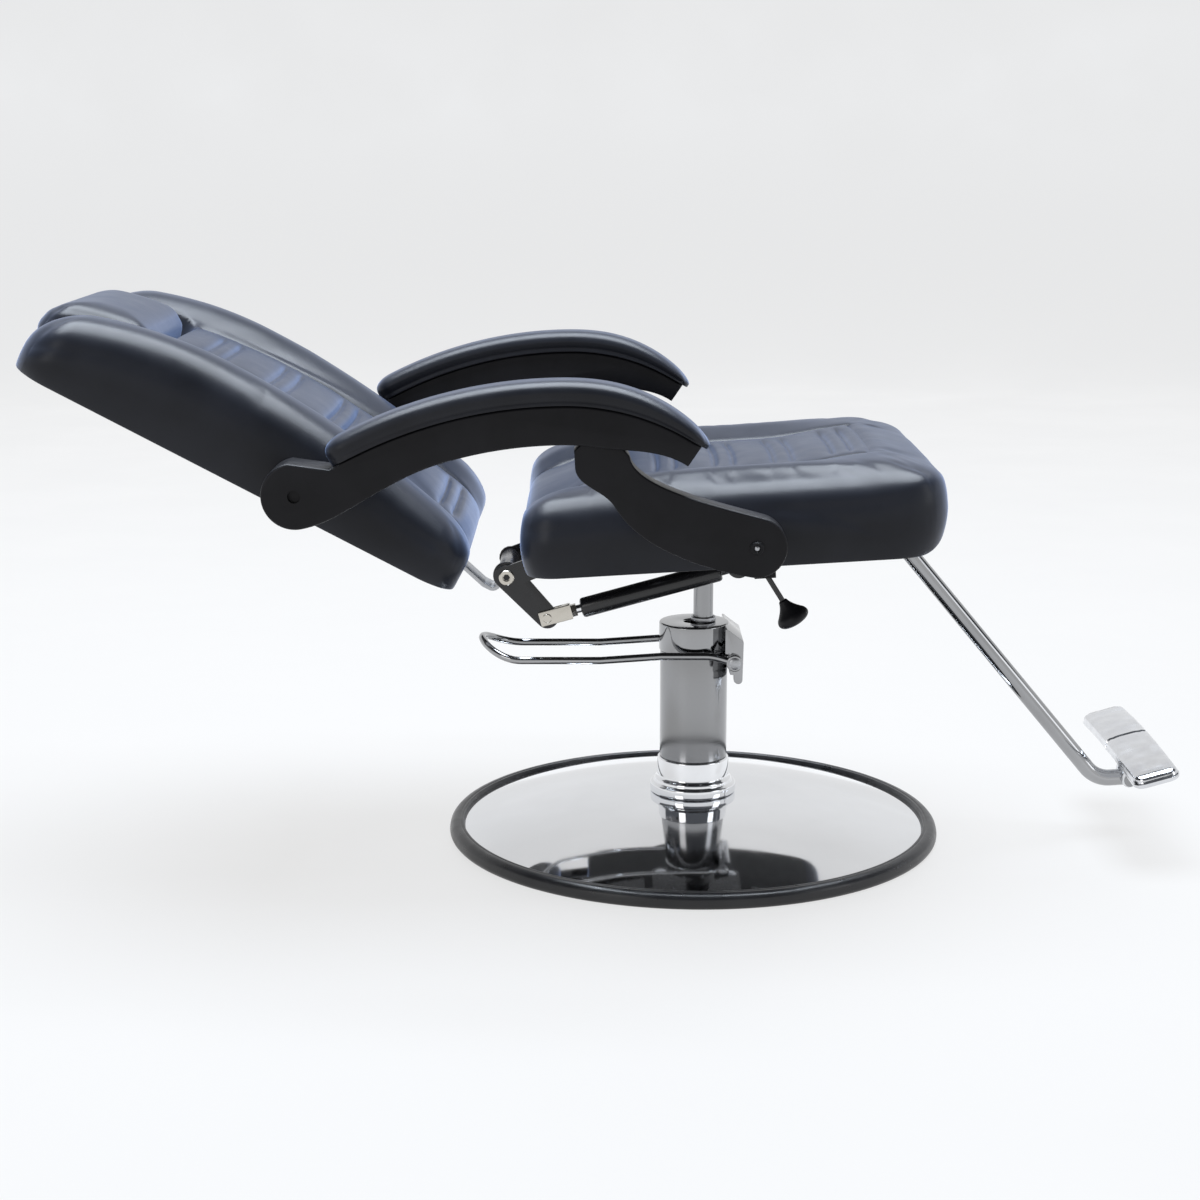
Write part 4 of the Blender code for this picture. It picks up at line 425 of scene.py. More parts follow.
def piece(name, body, look, shapes, stands_for=(), keep_normals=False):
    """One finished object in the chair's own frame, riding on a body of the frame."""
    mesh = bpy.data.meshes.new(name)
    whole = bmesh.new()
    for shape in shapes:
        if not keep_normals:
            bmesh.ops.recalc_face_normals(shape, faces=shape.faces)
            if shape.calc_volume(signed=True) < 0:
                bmesh.ops.reverse_faces(shape, faces=shape.faces)
        shape.to_mesh(mesh)
        whole.from_mesh(mesh)
        shape.free()
    whole.to_mesh(mesh)
    whole.free()
    mesh.shade_smooth()
    mesh.set_sharp_from_angle(angle=SHARP_EDGE)
    mesh.materials.append(looks[look])
    made = bpy.data.objects.new(name, mesh)
    bpy.context.scene.collection.objects.link(made)
    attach(made, body)
    if stands_for:
        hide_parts(*stands_for)
    return made


def cut(made, shape):
    """Takes a shape out of a finished piece."""
    mesh = bpy.data.meshes.new("cutter")
    bmesh.ops.recalc_face_normals(shape, faces=shape.faces)
    shape.to_mesh(mesh)
    shape.free()
    cutter = bpy.data.objects.new("cutter", mesh)
    bpy.context.scene.collection.objects.link(cutter)
    step = made.modifiers.new("cut", "BOOLEAN")
    step.solver = "EXACT"
    step.object = cutter
    graph = bpy.context.evaluated_depsgraph_get()
    whole = bpy.data.meshes.new_from_object(made.evaluated_get(graph))
    made.modifiers.remove(step)
    made.data = whole
    whole.shade_smooth()
    whole.set_sharp_from_angle(angle=SHARP_EDGE)
    bpy.data.objects.remove(cutter)
    return made


def lattice(stations):
    """A box whose faces carry a grid, with lines at the given stations along each axis."""
    shape = bmesh.new()
    bmesh.ops.create_cube(shape, size=1.0)
    for axis, lines in enumerate(stations):
        across = [e for e in shape.edges if abs(e.verts[0].co[axis] - e.verts[1].co[axis]) > 0.9]
        bmesh.ops.subdivide_edges(shape, edges=across, cuts=len(lines) - 2, use_grid_fill=True)
    for vertex in shape.verts:
        for axis, lines in enumerate(stations):
            vertex.co[axis] = lines[round((vertex.co[axis] + 0.5) * (len(lines) - 1))]
    return shape


def fill_in(lines, widest):
    """Adds grid lines wherever two are further apart than the widest step."""
    lines = sorted(set(round(line, 6) for line in lines))
    filled = [lines[0]]
    for low, high in zip(lines, lines[1:]):
        count = max(1, math.ceil((high - low) / widest))
        filled += even(low, high, count)[1:]
    return filled


def margins(low, high, steps):
    """Grid lines at the given steps in from both ends."""
    return [low + step for step in steps] + [high - step for step in steps]


def rounded_plan(along, across, low, high, half, low_corner, high_corner):
    """A point of a rectangle drawn into its rounded corners, and how far inside the edge it lies."""
    corner = low_corner if along < (low + high) / 2 else high_corner
    inner_along = min(max(along, low + corner), high - corner)
    inner_across = min(max(across, corner - half), half - corner)
    off = Vector((along - inner_along, across - inner_across))
    reach = max(abs(off[0]), abs(off[1]))
    if reach > 0:
        off *= reach / off.length
        return inner_along + off[0], inner_across + off[1], corner - reach
    return along, across, min(along - low, high - along, half - abs(across))


# Sewing of the cushions: grid steps in from an edge and beside a seam or tuck, widest grid steps,
# the rolled edge, seams and gathers, and the sunk panel
ROLL_STEPS = (0.0, 0.002, 0.006, 0.012, 0.02, 0.03, 0.042, 0.055)
SEAM_STEPS = (-0.007, -0.003, 0.0, 0.003, 0.007)
TUCK_STEPS = (-0.008, -0.0035, -0.0012, 0.0012, 0.0035, 0.008)
GRID_ALONG = 0.008
GRID_ACROSS = 0.0085
GRID_LAYERS = 14
EDGE_ROLL = 0.055
SEAM_DEPTH = 0.0042
TUCK_HALF = 0.011
PUCKER_SIZE = 0.0003
PUCKER_REACH = 0.02
STUFFING_FRAMES = 20
PANEL_HALF = 0.175
PANEL_SEAM = 0.119
PANEL_SLOPE = 0.060


def roll(inside, width, drop):
    """How far a padded edge has dropped at a distance inside the outline."""
    share = min(max((width - inside) / width, 0.0), 1.0)
    return drop * (1 - math.sqrt(1 - share * share))


def crease(off, depth):
    """A sewn line: a sharp fold in a wider hollow."""
    fold = 0.65 * math.exp(-((off / 0.0026) ** 2))
    return depth * (fold + 0.35 * math.exp(-((off / 0.0080) ** 2)))


def pucker(spot, seam):
    """Small uneven gathers in a cover, close to a seam."""
    size = PUCKER_SIZE * math.exp(-((seam / PUCKER_REACH) ** 2))
    return size * noise.noise(Vector(spot) * 55.0) + 0.5 * size * noise.noise(Vector(spot) * 130.0)


def swell(made, pinned, limit, freedom):
    """Stuffs a cover: the cloth swells under pressure, held at its pinned points and within a limit."""
    mesh = made.data
    count = len(mesh.vertices)
    start = np.empty(count * 3)
    mesh.vertices.foreach_get("co", start)
    start = start.reshape(-1, 3)
    group = made.vertex_groups.new(name="sewn")
    group.add([i for i in range(count) if pinned[i]], 1.0, "REPLACE")
    cloth = made.modifiers.new("stuffing", "CLOTH")
    cloth.settings.quality = 4
    cloth.settings.mass = 0.4
    cloth.settings.use_pressure = True
    cloth.settings.uniform_pressure_force = 4.0
    cloth.settings.effector_weights.gravity = 0.0
    cloth.settings.vertex_group_mass = "sewn"
    cloth.point_cache.frame_start = 1
    cloth.point_cache.frame_end = STUFFING_FRAMES
    scene = bpy.context.scene
    for step in range(1, STUFFING_FRAMES + 1):
        scene.frame_set(step)
    result = made.evaluated_get(bpy.context.evaluated_depsgraph_get()).to_mesh()
    puffed = np.empty(count * 3)
    result.vertices.foreach_get("co", puffed)
    made.modifiers.remove(cloth)
    made.vertex_groups.remove(group)
    scene.frame_set(1)
    shift = puffed.reshape(-1, 3) - start
    length = np.linalg.norm(shift, axis=1, keepdims=True)
    shift *= np.minimum(1.0, limit / np.maximum(length, 1e-9))
    return start + shift * np.array(freedom).reshape(-1, 1)


def padded(name, body, stations, form, sew, matrix, stands_for, look="leather", under="back_vinyl"):
    """A cushion: a grid is formed, stuffed, sewn, subdivided and set in place.

    form gives a point, how freely its cover swells, and whether it lies underneath. sew moves a point of the
    stuffed cover from its grid place.
    """
    shape = lattice(stations)
    shape.verts.ensure_lookup_table()
    grid = [vertex.co.copy() for vertex in shape.verts]
    freedom = []
    below = []
    for vertex, spot in zip(shape.verts, grid):
        vertex.co, free, lies_under = form(*spot)
        freedom.append(free)
        below.append(lies_under)
    under_faces = [all(below[v.index] for v in face.verts) for face in shape.faces]
    made = piece(name, body, look, [shape], stands_for, keep_normals=True)
    made.data.materials.append(looks[under])
    pinned = [free < 0.02 for free in freedom]
    stuffed = swell(made, pinned, bpy.context.scene.chair_upholstery.swell, freedom)
    sewn = [sew(spot, Vector(point)) for spot, point in zip(grid, stuffed)]
    flat = np.array([matrix @ point for point in sewn])
    made.data.vertices.foreach_set("co", flat.ravel())
    for face, lies_under in zip(made.data.polygons, under_faces):
        face.material_index = 1 if lies_under else 0
    made.data.update()
    smooth = made.modifiers.new("round", "SUBSURF")
    smooth.levels = 1
    smooth.render_levels = 1
    whole = bpy.data.meshes.new_from_object(made.evaluated_get(bpy.context.evaluated_depsgraph_get()))
    made.modifiers.remove(smooth)
    made.data = whole
    whole.shade_smooth()
    return made


def tuck_lines(first, pitch, count):
    """Grid lines close to each pair of sewn tucks."""
    lines = []
    for i in range(count):
        for side in (-TUCK_HALF, TUCK_HALF):
            lines += [first + pitch * i + side + off for off in TUCK_STEPS]
    return lines


def border_lines(at):
    return [sign * (at + off) for sign in (-1, 1) for off in SEAM_STEPS]


def draw_in(share):
    """How far a padded side is drawn in at a share of its height, from its widest place."""
    return 0.010 * ((share - 0.6) / 0.6) ** 2


def drawn(share, inside, half):
    """The scale that draws a cushion's sides in near its outline."""
    return 1 - (draw_in(share) + 0.002) / half * (1 - ease(inside, 0, EDGE_ROLL))


def bowed(across, inside, share):
    """How far the tucks bow along the panel towards its middle."""
    return 0.010 * max(0.0, 1 - (across / PANEL_HALF) ** 2) * ease(inside, 0, 0.11) * share


def crowned(across):
    """How far the panel's stuffing rises towards its middle."""
    return max(0.0, 1 - (across / PANEL_SEAM) ** 2)


SEAT_LOW = -0.214
SEAT_HIGH = 0.270
SEAT_HALF = 0.245
SEAT_TUCK = (-0.121, 0.069, 5)
SEAT_SEAM_FRONT = 0.188
SEAT_PANEL_FRONT = 0.195


def tucks(along, across, first, pitch, count, depth):
    """Depth of the sewn tucks in the sunk panel, with the puffed strips between them."""
    inside = 1 - ease(abs(across), 0.065, PANEL_SEAM - 0.006)
    if inside <= 0:
        return 0.0
    sides = (-TUCK_HALF, TUCK_HALF)
    nearest = min(abs(along - first - pitch * i - side) for i in range(count) for side in sides)
    puff = 0.0010 * ease(nearest, 0.0, 0.014)
    return inside * (crease(nearest, depth) - puff)


class CHAIR_OT_seat_cushion(bpy.types.Operator):
    """Makes the seat cushion with its side rolls, sunk panel and sewn tucks"""

    bl_idname = "chair.seat_cushion"
    bl_label = "Seat Cushion"

    def execute(self, context):
        depth = context.scene.chair_upholstery.tuck_depth
        along = tuck_lines(*SEAT_TUCK) + margins(SEAT_LOW, SEAT_HIGH, ROLL_STEPS)
        along += [SEAT_SEAM_FRONT + off for off in SEAM_STEPS]
        across = margins(-SEAT_HALF, SEAT_HALF, ROLL_STEPS) + border_lines(PANEL_SEAM) + [0.0]
        stations = (fill_in(along, GRID_ALONG), fill_in(across, GRID_ACROSS), even(0, 1, GRID_LAYERS))
        centre = (SEAT_LOW + SEAT_HIGH) / 2
        cover_half = SEAT_HALF + 0.0002

        def form(x, y, share):
            px, py, inside = rounded_plan(x, y, SEAT_LOW, SEAT_HIGH, SEAT_HALF, 0.040, 0.065)
            sunk = 1 - ease(abs(py), PANEL_HALF - PANEL_SLOPE, PANEL_HALF)
            sunk *= 1 - ease(x, SEAT_PANEL_FRONT - 2 * PANEL_SLOPE, SEAT_PANEL_FRONT)
            crest = 0.099 - 0.010 * (1 - ease(x, SEAT_LOW, 0))
            front = ease(x, SEAT_HIGH - 0.11, SEAT_HIGH)
            top = crest - roll(inside, EDGE_ROLL, 0.034 - 0.012 * front)
            top -= sunk * (0.012 - 0.003 * crowned(py))
            curl = roll(SEAT_HIGH - px, 0.040, 0.030)
            free = ease(x, SEAT_LOW, SEAT_LOW + 0.06) * ease(share, 0.1, 0.6)
            free *= 1 - 0.75 * ease(abs(py), 0.17, SEAT_HALF) * (1 - 0.3 * share)
            free *= 1 - 0.8 * ease(x, SEAT_HIGH - 0.06, SEAT_HIGH)
            pull = drawn(share, inside, SEAT_HALF)
            forward = centre + (px - centre) * (1 + pull) / 2 + bowed(py, inside, share)
            spot = Vector((forward, py * pull, curl + (top - curl) * share))
            return spot, free, share == 0 and curl == 0

        def sew(grid, spot):
            x, y, share = grid
            if share == 1:
                drop = tucks(x, y, *SEAT_TUCK, depth)
                off = abs(y) - PANEL_SEAM
                past = x - SEAT_SEAM_FRONT
                outside = off > 0 and past > 0
                seam = math.hypot(max(off, 0), max(past, 0)) if outside else abs(max(off, past))
                rear = ease(x, SEAT_LOW, SEAT_LOW + 0.06)
                drop += crease(seam, SEAM_DEPTH) * (0.35 + 0.65 * rear)
                mitre = abs(off * 0.53 - past * 0.85) / 1.6
                drop += crease(mitre, 0.0022) * ease(x, SEAT_SEAM_FRONT, SEAT_SEAM_FRONT + 0.02)
                spot.z += pucker(grid, seam) - drop
            spot.y = min(max(spot.y, -cover_half), cover_half)
            return spot

        nodes = ("seat_cushion", "seat_frame")
        padded("upholstery_seat", "seat", stations, form, sew, SEAT, nodes, under="dust_cloth")
        return {"FINISHED"}


BACK_LOW = 0.054
BACK_HIGH = 0.596
BACK_HALF = 0.240
BACK_REAR = -0.015
BACK_TUCK = (0.104, 0.081, 5)
NOTCH_LOW = 0.478
NOTCH_HALF = 0.130
NOTCH_FLOOR = 0.0297
NOTCH_CORNER = 0.030
NOTCH_FOOT_STEPS = (-0.006, -0.003, 0.0, 0.003, 0.006, 0.010, 0.015, 0.020, 0.025, 0.030)
NOTCH_SIDE_STEPS = (-0.030, -0.024, 0.0, 0.003, 0.006)
CREST_AT = 0.400


class CHAIR_OT_back_cushion(bpy.types.Operator):
    """Makes the back cushion with its wings, sunk panel, sewn tucks and headrest notch"""

    bl_idname = "chair.back_cushion"
    bl_label = "Back Cushion"

    def execute(self, context):
        depth = context.scene.chair_upholstery.tuck_depth
        along = tuck_lines(*BACK_TUCK) + margins(BACK_LOW, BACK_HIGH, ROLL_STEPS)
        along = [line for line in along if BACK_LOW <= line <= BACK_HIGH]
        along += [NOTCH_LOW + off for off in NOTCH_FOOT_STEPS]
        across = margins(-BACK_HALF, BACK_HALF, ROLL_STEPS) + border_lines(PANEL_SEAM) + [0.0]
        across += [sign * (NOTCH_HALF + off) for sign in (-1, 1) for off in NOTCH_SIDE_STEPS]
        stations = (even(0, 1, GRID_LAYERS), fill_in(across, GRID_ACROSS), fill_in(along, GRID_ALONG))
        cover_half = BACK_HALF + 0.0002

        def notch(y, a):
            past_side = max(abs(y) - NOTCH_HALF + NOTCH_CORNER, 0.0)
            off = Vector((past_side, max(NOTCH_LOW + NOTCH_CORNER - a, 0.0)))
            return ease(NOTCH_CORNER - off.length, -0.006, 0.0)

        def form(share, y, a):
            pa, py, inside = rounded_plan(a, y, BACK_LOW, BACK_HIGH, BACK_HALF, 0.045, 0.045)
            crest = 0.094 - (0.40 if a < CREST_AT else 1.10) * (a - CREST_AT) ** 2
            sunk = 1 - ease(abs(py), PANEL_HALF - PANEL_SLOPE, PANEL_HALF)
            deep = 0.022 * (0.4 + 0.6 * ease(a, BACK_LOW, BACK_LOW + 0.16))
            full = ease(a, BACK_LOW, BACK_LOW + 0.11)
            top = crest - roll(inside, EDGE_ROLL, 0.025 + 0.011 * full)
            top -= sunk * deep * (1 - 0.15 * crowned(py))
            cut_out = notch(py, a)
            top -= roll(NOTCH_LOW - a, 0.012, 0.007) * (1 - ease(abs(py), NOTCH_HALF - 0.03, NOTCH_HALF))
            top = top + (min(top, NOTCH_FLOOR) - top) * cut_out
            pull = drawn(share, inside, BACK_HALF)
            bow = -bowed(py, inside, share)
            free = ease(a, BACK_LOW + 0.01, BACK_LOW + 0.10) * ease(share, 0.0, 0.3) * (1 - cut_out)
            free *= 1 - 0.8 * ease(abs(py), 0.16, BACK_HALF) * (1 - 0.3 * share)
            beside = 1 - 0.75 * ease(abs(py), NOTCH_HALF + 0.02, NOTCH_HALF + 0.06)
            free *= 1 - ease(a, NOTCH_LOW - 0.03, NOTCH_LOW) * beside
            bow *= 1 - ease(a, NOTCH_LOW - 0.04, NOTCH_LOW - 0.005)
            spot = Vector((BACK_REAR + (top - BACK_REAR) * share, py * pull, pa + bow))
            return spot, free, share == 0

        def sew(grid, spot):
            share, y, a = grid
            if share == 1:
                off = abs(abs(y) - PANEL_SEAM)
                open_panel = 1 - ease(a, NOTCH_LOW - 0.012, NOTCH_LOW - 0.004)
                drop = tucks(a, y, *BACK_TUCK, depth) * open_panel
                drop += crease(off, SEAM_DEPTH) * open_panel * ease(a, BACK_LOW, BACK_LOW + 0.05)
                spot.x += (pucker(grid, off) - drop) * open_panel
            elif share == 0:
                rim = min(BACK_HALF - abs(y), a - BACK_LOW, BACK_HIGH - a)
                spot.x += crease(abs(rim - 0.024), 0.0018)
            spot.y = min(max(spot.y, -cover_half), cover_half)
            return spot

        padded("upholstery_back", "backrest", stations, form, sew, BACK, ("back_cushion", "back_frame"))
        return {"FINISHED"}


HEADREST_LOW = 0.482
HEADREST_HIGH = 0.611
HEADREST_HALF = 0.127
HEADREST_CORNER = 0.033


class CHAIR_OT_headrest(bpy.types.Operator):
    """Makes the headrest pillow that lies in the back's notch and laps over its top"""

    bl_idname = "chair.headrest"
    bl_label = "Headrest"

    def execute(self, context):
        edge = (0.0, 0.002, 0.005, 0.010, 0.017, 0.026, 0.036)
        outline = (HEADREST_LOW, HEADREST_HIGH, HEADREST_HALF, HEADREST_CORNER, HEADREST_CORNER)
        centre = (HEADREST_LOW + HEADREST_HIGH) / 2
        lip = BACK_HIGH + 0.0004
        lip_end = lip + 0.002
        along = margins(HEADREST_LOW, HEADREST_HIGH, edge) + [lip, lip_end]
        across = margins(-HEADREST_HALF, HEADREST_HALF, edge)
        stations = (even(0, 1, 10), fill_in(across, 0.006), fill_in(along, 0.006))

        def form(share, y, a):
            pa, py, inside = rounded_plan(a, y, *outline)
            crest = 0.080 - 0.026 * ((a - HEADREST_LOW) / (HEADREST_HIGH - HEADREST_LOW)) ** 2
            top = crest - roll(inside, 0.056, 0.025)
            rear = 0.030 - 0.020 * ease(a, lip, lip_end)
            pull = 1 - (draw_in(share) / 2 + 0.002) / HEADREST_HALF * (1 - ease(inside, 0, 0.035))
            free = 0.6 * ease(share, 0.5, 1.0) * ease(inside, 0.004, 0.04)
            spot = Vector((rear + (top - rear) * share, py * pull, centre + (pa - centre) * pull))
            return spot, free, share == 0

        def sew(grid, spot):
            share, y, a = grid
            if share == 1:
                inside = rounded_plan(a, y, *outline)[2]
                spot.x -= crease(abs(inside - 0.009), 0.0014)
            return spot

        nodes = ("headrest_cushion", "headrest_board")
        padded("upholstery_headrest", "headrest", stations, form, sew, BACK, nodes)
        return {"FINISHED"}


ARM_CROWN = (0.290, 0.097)
SEAM_REAR = -0.264
SEAM_FRONT = 0.152
PAD_NOSE = 0.160
SUPPORT_FACE = 0.267
BACK_SIDE = 0.2406
SEAT_SIDE = 0.2456


def arm_curve(along, lift):
    """A point on the arm: a distance along its seam from the crown, and a height over the seam."""
    bend = 0.502 if along < 0 else 0.255
    angle = along / bend
    forward = ARM_CROWN[0] + (bend + lift) * math.sin(angle)
    return forward, ARM_CROWN[1] - bend + (bend + lift) * math.cos(angle)


class CHAIR_OT_arm_pads(bpy.types.Operator):
    """Makes the two arm pads with their moulded seam"""

    bl_idname = "chair.arm_pads"
    bl_label = "Arm Pads"

    def execute(self, context):
        low = SEAM_REAR + 0.002
        high = PAD_NOSE
        half = ARM_WIDTH / 2 + 0.003
        edge = (0.0, 0.0015, 0.004, 0.008, 0.013, 0.019)
        along = fill_in(margins(low, high, edge), 0.007)
        across = fill_in(margins(-half, half, edge), 0.005)
        stations = (along, across, even(0, 1, 10))

        def form(s, y, share):
            ps, py, inside = rounded_plan(s, y, low, high, half, half * 0.8, half * 0.8)
            full = 0.0258 - 0.017 * max(0.0, (s - 0.030) / (high - 0.030)) ** 2
            top = full - roll(inside, 0.019, 0.48 * full)
            x, z = arm_curve(ps, 0.0004 + top * share)
            return Vector((x, py, z)), 0.0, share == 0

        def sew(grid, spot):
            _, y, share = grid
            if 0 < share < 1:
                groove = crease(abs(share - 0.4) * 0.02, 0.0011)
                spot.y -= math.copysign(groove, y) * ease(abs(y), half - 0.0005, half)
            return spot

        for side, name in ((-1, "right"), (1, "left")):
            spot = place(*ARM_PIVOT, 0, side * ARM_SIDE)
            padded(
                "arm_skin_" + name, "arm_" + name, stations, form, sew, spot, ("arm_pad_" + name,),
                look="arm_skin", under="moulded",
            )
        return {"FINISHED"}


class CHAIR_OT_arms(bpy.types.Operator):
    """Makes the two moulded arms, hollow underneath, and the supports that swing into them"""

    bl_idname = "chair.arms"
    bl_label = "Arms and Supports"

    def arm_outline(self):
        seam = [arm_curve(s, 0) for s in even(SEAM_REAR, SEAM_FRONT, 60)]
        lower = []
        for s in even(SEAM_FRONT, -0.150, 40):
            lower.append(arm_curve(s, -0.042 + 0.017 * ease(s, 0.040, SEAM_FRONT)))
        lobe_foot = arc((0, 0), 0.036, -80, -80, 1)[0]
        leave = Vector(lower[-1]) + (Vector(lower[-1]) - Vector(lower[-2])).normalized() * 0.0612
        arrive = Vector(lobe_foot) + Vector((0.985, 0.174)) * 0.045
        sweep = bezier(lower[-1], leave, arrive, lobe_foot, 24)
        return seam + lower + sweep[1:-1] + arc((0, 0), 0.036, -80, -260, 40)

    def support_outline(self):
        pin = (SUPPORT_PIN_AT[0] - SUPPORT_PIVOT[0], SUPPORT_PIN_AT[1] - SUPPORT_PIVOT[1])
        lobe = 0.033
        outline = arc((0, 0), lobe, -100, 75, 40)
        neck = (-0.137, 0.099)
        leave = Vector(outline[-1]) + Vector((-0.966, 0.259)) * lobe * 1.8
        outline += bezier(outline[-1], leave, Vector(neck) + Vector((0.15, -1.0)) * lobe, neck, 24)[1:]
        outline += arc(pin, 0.010, -20, 200, 24)
        outline.append((-0.196, 0.105))
        waist = (-0.153, 0.045)
        outline += bezier((-0.195, 0.086), (-0.193, 0.066), (-0.165, 0.063), waist, 14)
        arrive = Vector(outline[0]) + Vector((-0.985, 0.174)) * lobe * 1.7
        return outline + bezier(waist, (-0.128, 0.0), arrive, outline[0], 24)[1:-1]

    def boss(self, pivot, side, face, bore, reach):
        """A bored foot on a moulding's inner face, chamfered at its end."""
        profile = [(bore, reach), (0.017, reach), (0.018, reach - 0.001), (0.018, 0), (bore, 0)]
        facing = Matrix.Rotation(math.radians(90 * side), 4, "X")
        return turn(spun(profile, True, 64), place(*pivot, 0, side * face) @ facing)

    def arm(self, side, name):
        roof = [arm_curve(s, -0.006) for s in even(-0.130, 0.100, 40)]
        hollow = roof + [arm_curve(s, -0.084) for s in even(0.100, -0.130, 40)]
        pin = (SUPPORT_PIN_AT[0] - ARM_PIVOT[0], 0, SUPPORT_PIN_AT[1] - ARM_PIVOT[1])
        spot = place(*ARM_PIVOT, 0, side * ARM_SIDE)
        body = turn(plate(self.arm_outline(), ARM_WIDTH, 0.003, 3), spot @ UPRIGHT)
        nodes = ("arm_body_" + name,)
        made = piece("arm_moulding_" + name, "arm_" + name, "moulded", [body], nodes)
        cut(made, turn(plate(hollow, SUPPORT_THICKNESS + 0.006, 0), spot @ UPRIGHT))
        socket = bar(0.0085, 0.0240, -0.0240)
        cut(made, turn(socket, spot @ Matrix.Translation(pin) @ ALONG_Y))
        outer = side * ARM_WIDTH / 2
        bore = bar(ARM_BOLT_BORE, *sorted((-outer * 1.2, outer * 0.22)), 48)
        cut(made, turn(bore, spot @ ALONG_Y))
        recess = bar(0.0070, *sorted((outer * 1.2, outer * 0.80)), 48)
        cut(made, turn(recess, spot @ ALONG_Y))
        face = ARM_SIDE - ARM_WIDTH / 2
        boss = self.boss(ARM_PIVOT, side, face - 0.0002, ARM_BOLT_BORE, face - GAP - BACK_SIDE)
        piece("arm_boss_" + name, "arm_" + name, "moulded", [boss])

    def support(self, side, name):
        pin = (SUPPORT_PIN_AT[0] - SUPPORT_PIVOT[0], 0, SUPPORT_PIN_AT[1] - SUPPORT_PIVOT[1])
        spot = place(*SUPPORT_PIVOT, 0, side * ARM_SIDE)
        link = turn(plate(self.support_outline(), SUPPORT_THICKNESS, 0.0035, 3), spot @ UPRIGHT)
        nodes = ("arm_support_" + name,)
        made = piece("arm_link_" + name, "support_" + name, "moulded", [link], nodes)
        cut(made, turn(bar(SCREW_BORE, 0.06, -0.06), spot @ ALONG_Y))
        cut(made, turn(bar(PIN_BORE, 0.06, -0.06), spot @ Matrix.Translation(pin) @ ALONG_Y))
        boss = self.boss(SUPPORT_PIVOT, side, SUPPORT_FACE - 0.0001, SCREW_BORE, SUPPORT_FACE - SEAT_SIDE)
        piece("support_boss_" + name, "support_" + name, "moulded", [boss])

    def screw(self, side, name):
        cap = [(0.0032, 0.0), (0.0075, 0.0), (0.0074, 0.0022), (0.0060, 0.0036)]
        cap += [(0.0042, 0.0034), (0.0032, 0.0022)]
        centre = [(0, 0.0034), (0.0016, 0.0032), (0.0027, 0.0024), (0.0031, 0.0012)]
        centre += [(0.0031, 0.0), (0, 0.0)]
        outward = place(*SUPPORT_PIVOT, 0, side * (ARM_SIDE + SUPPORT_THICKNESS / 2 + GAP))
        outward @= Matrix.Rotation(math.radians(-90 * side), 4, "X")
        shank = bar(0.005, -0.0002, -0.111, 48)
        shapes = [turn(spun(centre, segments=48), outward), turn(shank, outward)]
        nodes = ("arm_screw_" + name,)
        piece("arm_screw_core_" + name, "seat", "plain_steel", shapes, nodes)
        ring = turn(spun(cap, True, 48), outward)
        piece("arm_screw_cap_" + name, "seat", "moulded", [ring])

    def execute(self, context):
        for side, name in ((-1, "right"), (1, "left")):
            self.arm(side, name)
            self.support(side, name)
            self.screw(side, name)
        return {"FINISHED"}


class CHAIR_OT_base(bpy.types.Operator):
    """Makes the domed floor base with its rubber rim and the collar round the column"""

    bl_idname = "chair.base"
    bl_label = "Floor Base"

    def execute(self, context):
        inner = 0.038
        outer = 0.2827
        radii = even(inner, outer, 40)
        top = [(r, 0.013 + 0.037 * (1 - ((r - inner) / (0.283 - inner)) ** 2)) for r in radii]
        under = [(r, z - 0.003) for r, z in reversed(top[:-1])]
        dome = top + [(outer, 0.0083), (outer - 0.003, 0.0083)] + under
        piece("dome_shell", "base", "mirror_chrome", [spun(dome, True, 192)], ("base_dome",))
        rim = [(0.283, 0.0), (0.297, 0.0), (0.2995, 0.003), (0.300, 0.006), (0.2985, 0.0125)]
        rim += [(0.2955, 0.0160), (0.2915, 0.0178), (0.2880, 0.0180), (0.2868, 0.0172)]
        rim += [(0.2856, 0.0178), (0.283, 0.0178)]
        bumper = spun(softened(rim, 0.0015), True, 192)
        piece("rim_bumper", "base", "rubber", [bumper], ("rim_ring",))
        base = 0.0503
        collar = [(0.038, base), (0.0525, base), (0.0525, base + 0.012), (0.0475, base + 0.0125)]
        collar += [(0.0475, base + 0.0170), (0.0435, base + 0.020)]
        collar += [(0.0435, base + 0.044), (0.038, base + 0.044)]
        ring = spun(softened(collar, 0.0022, 4), True, 128)
        piece("collar_ring", "base", "mirror_chrome", [ring], ("base_collar",))
        return {"FINISHED"}


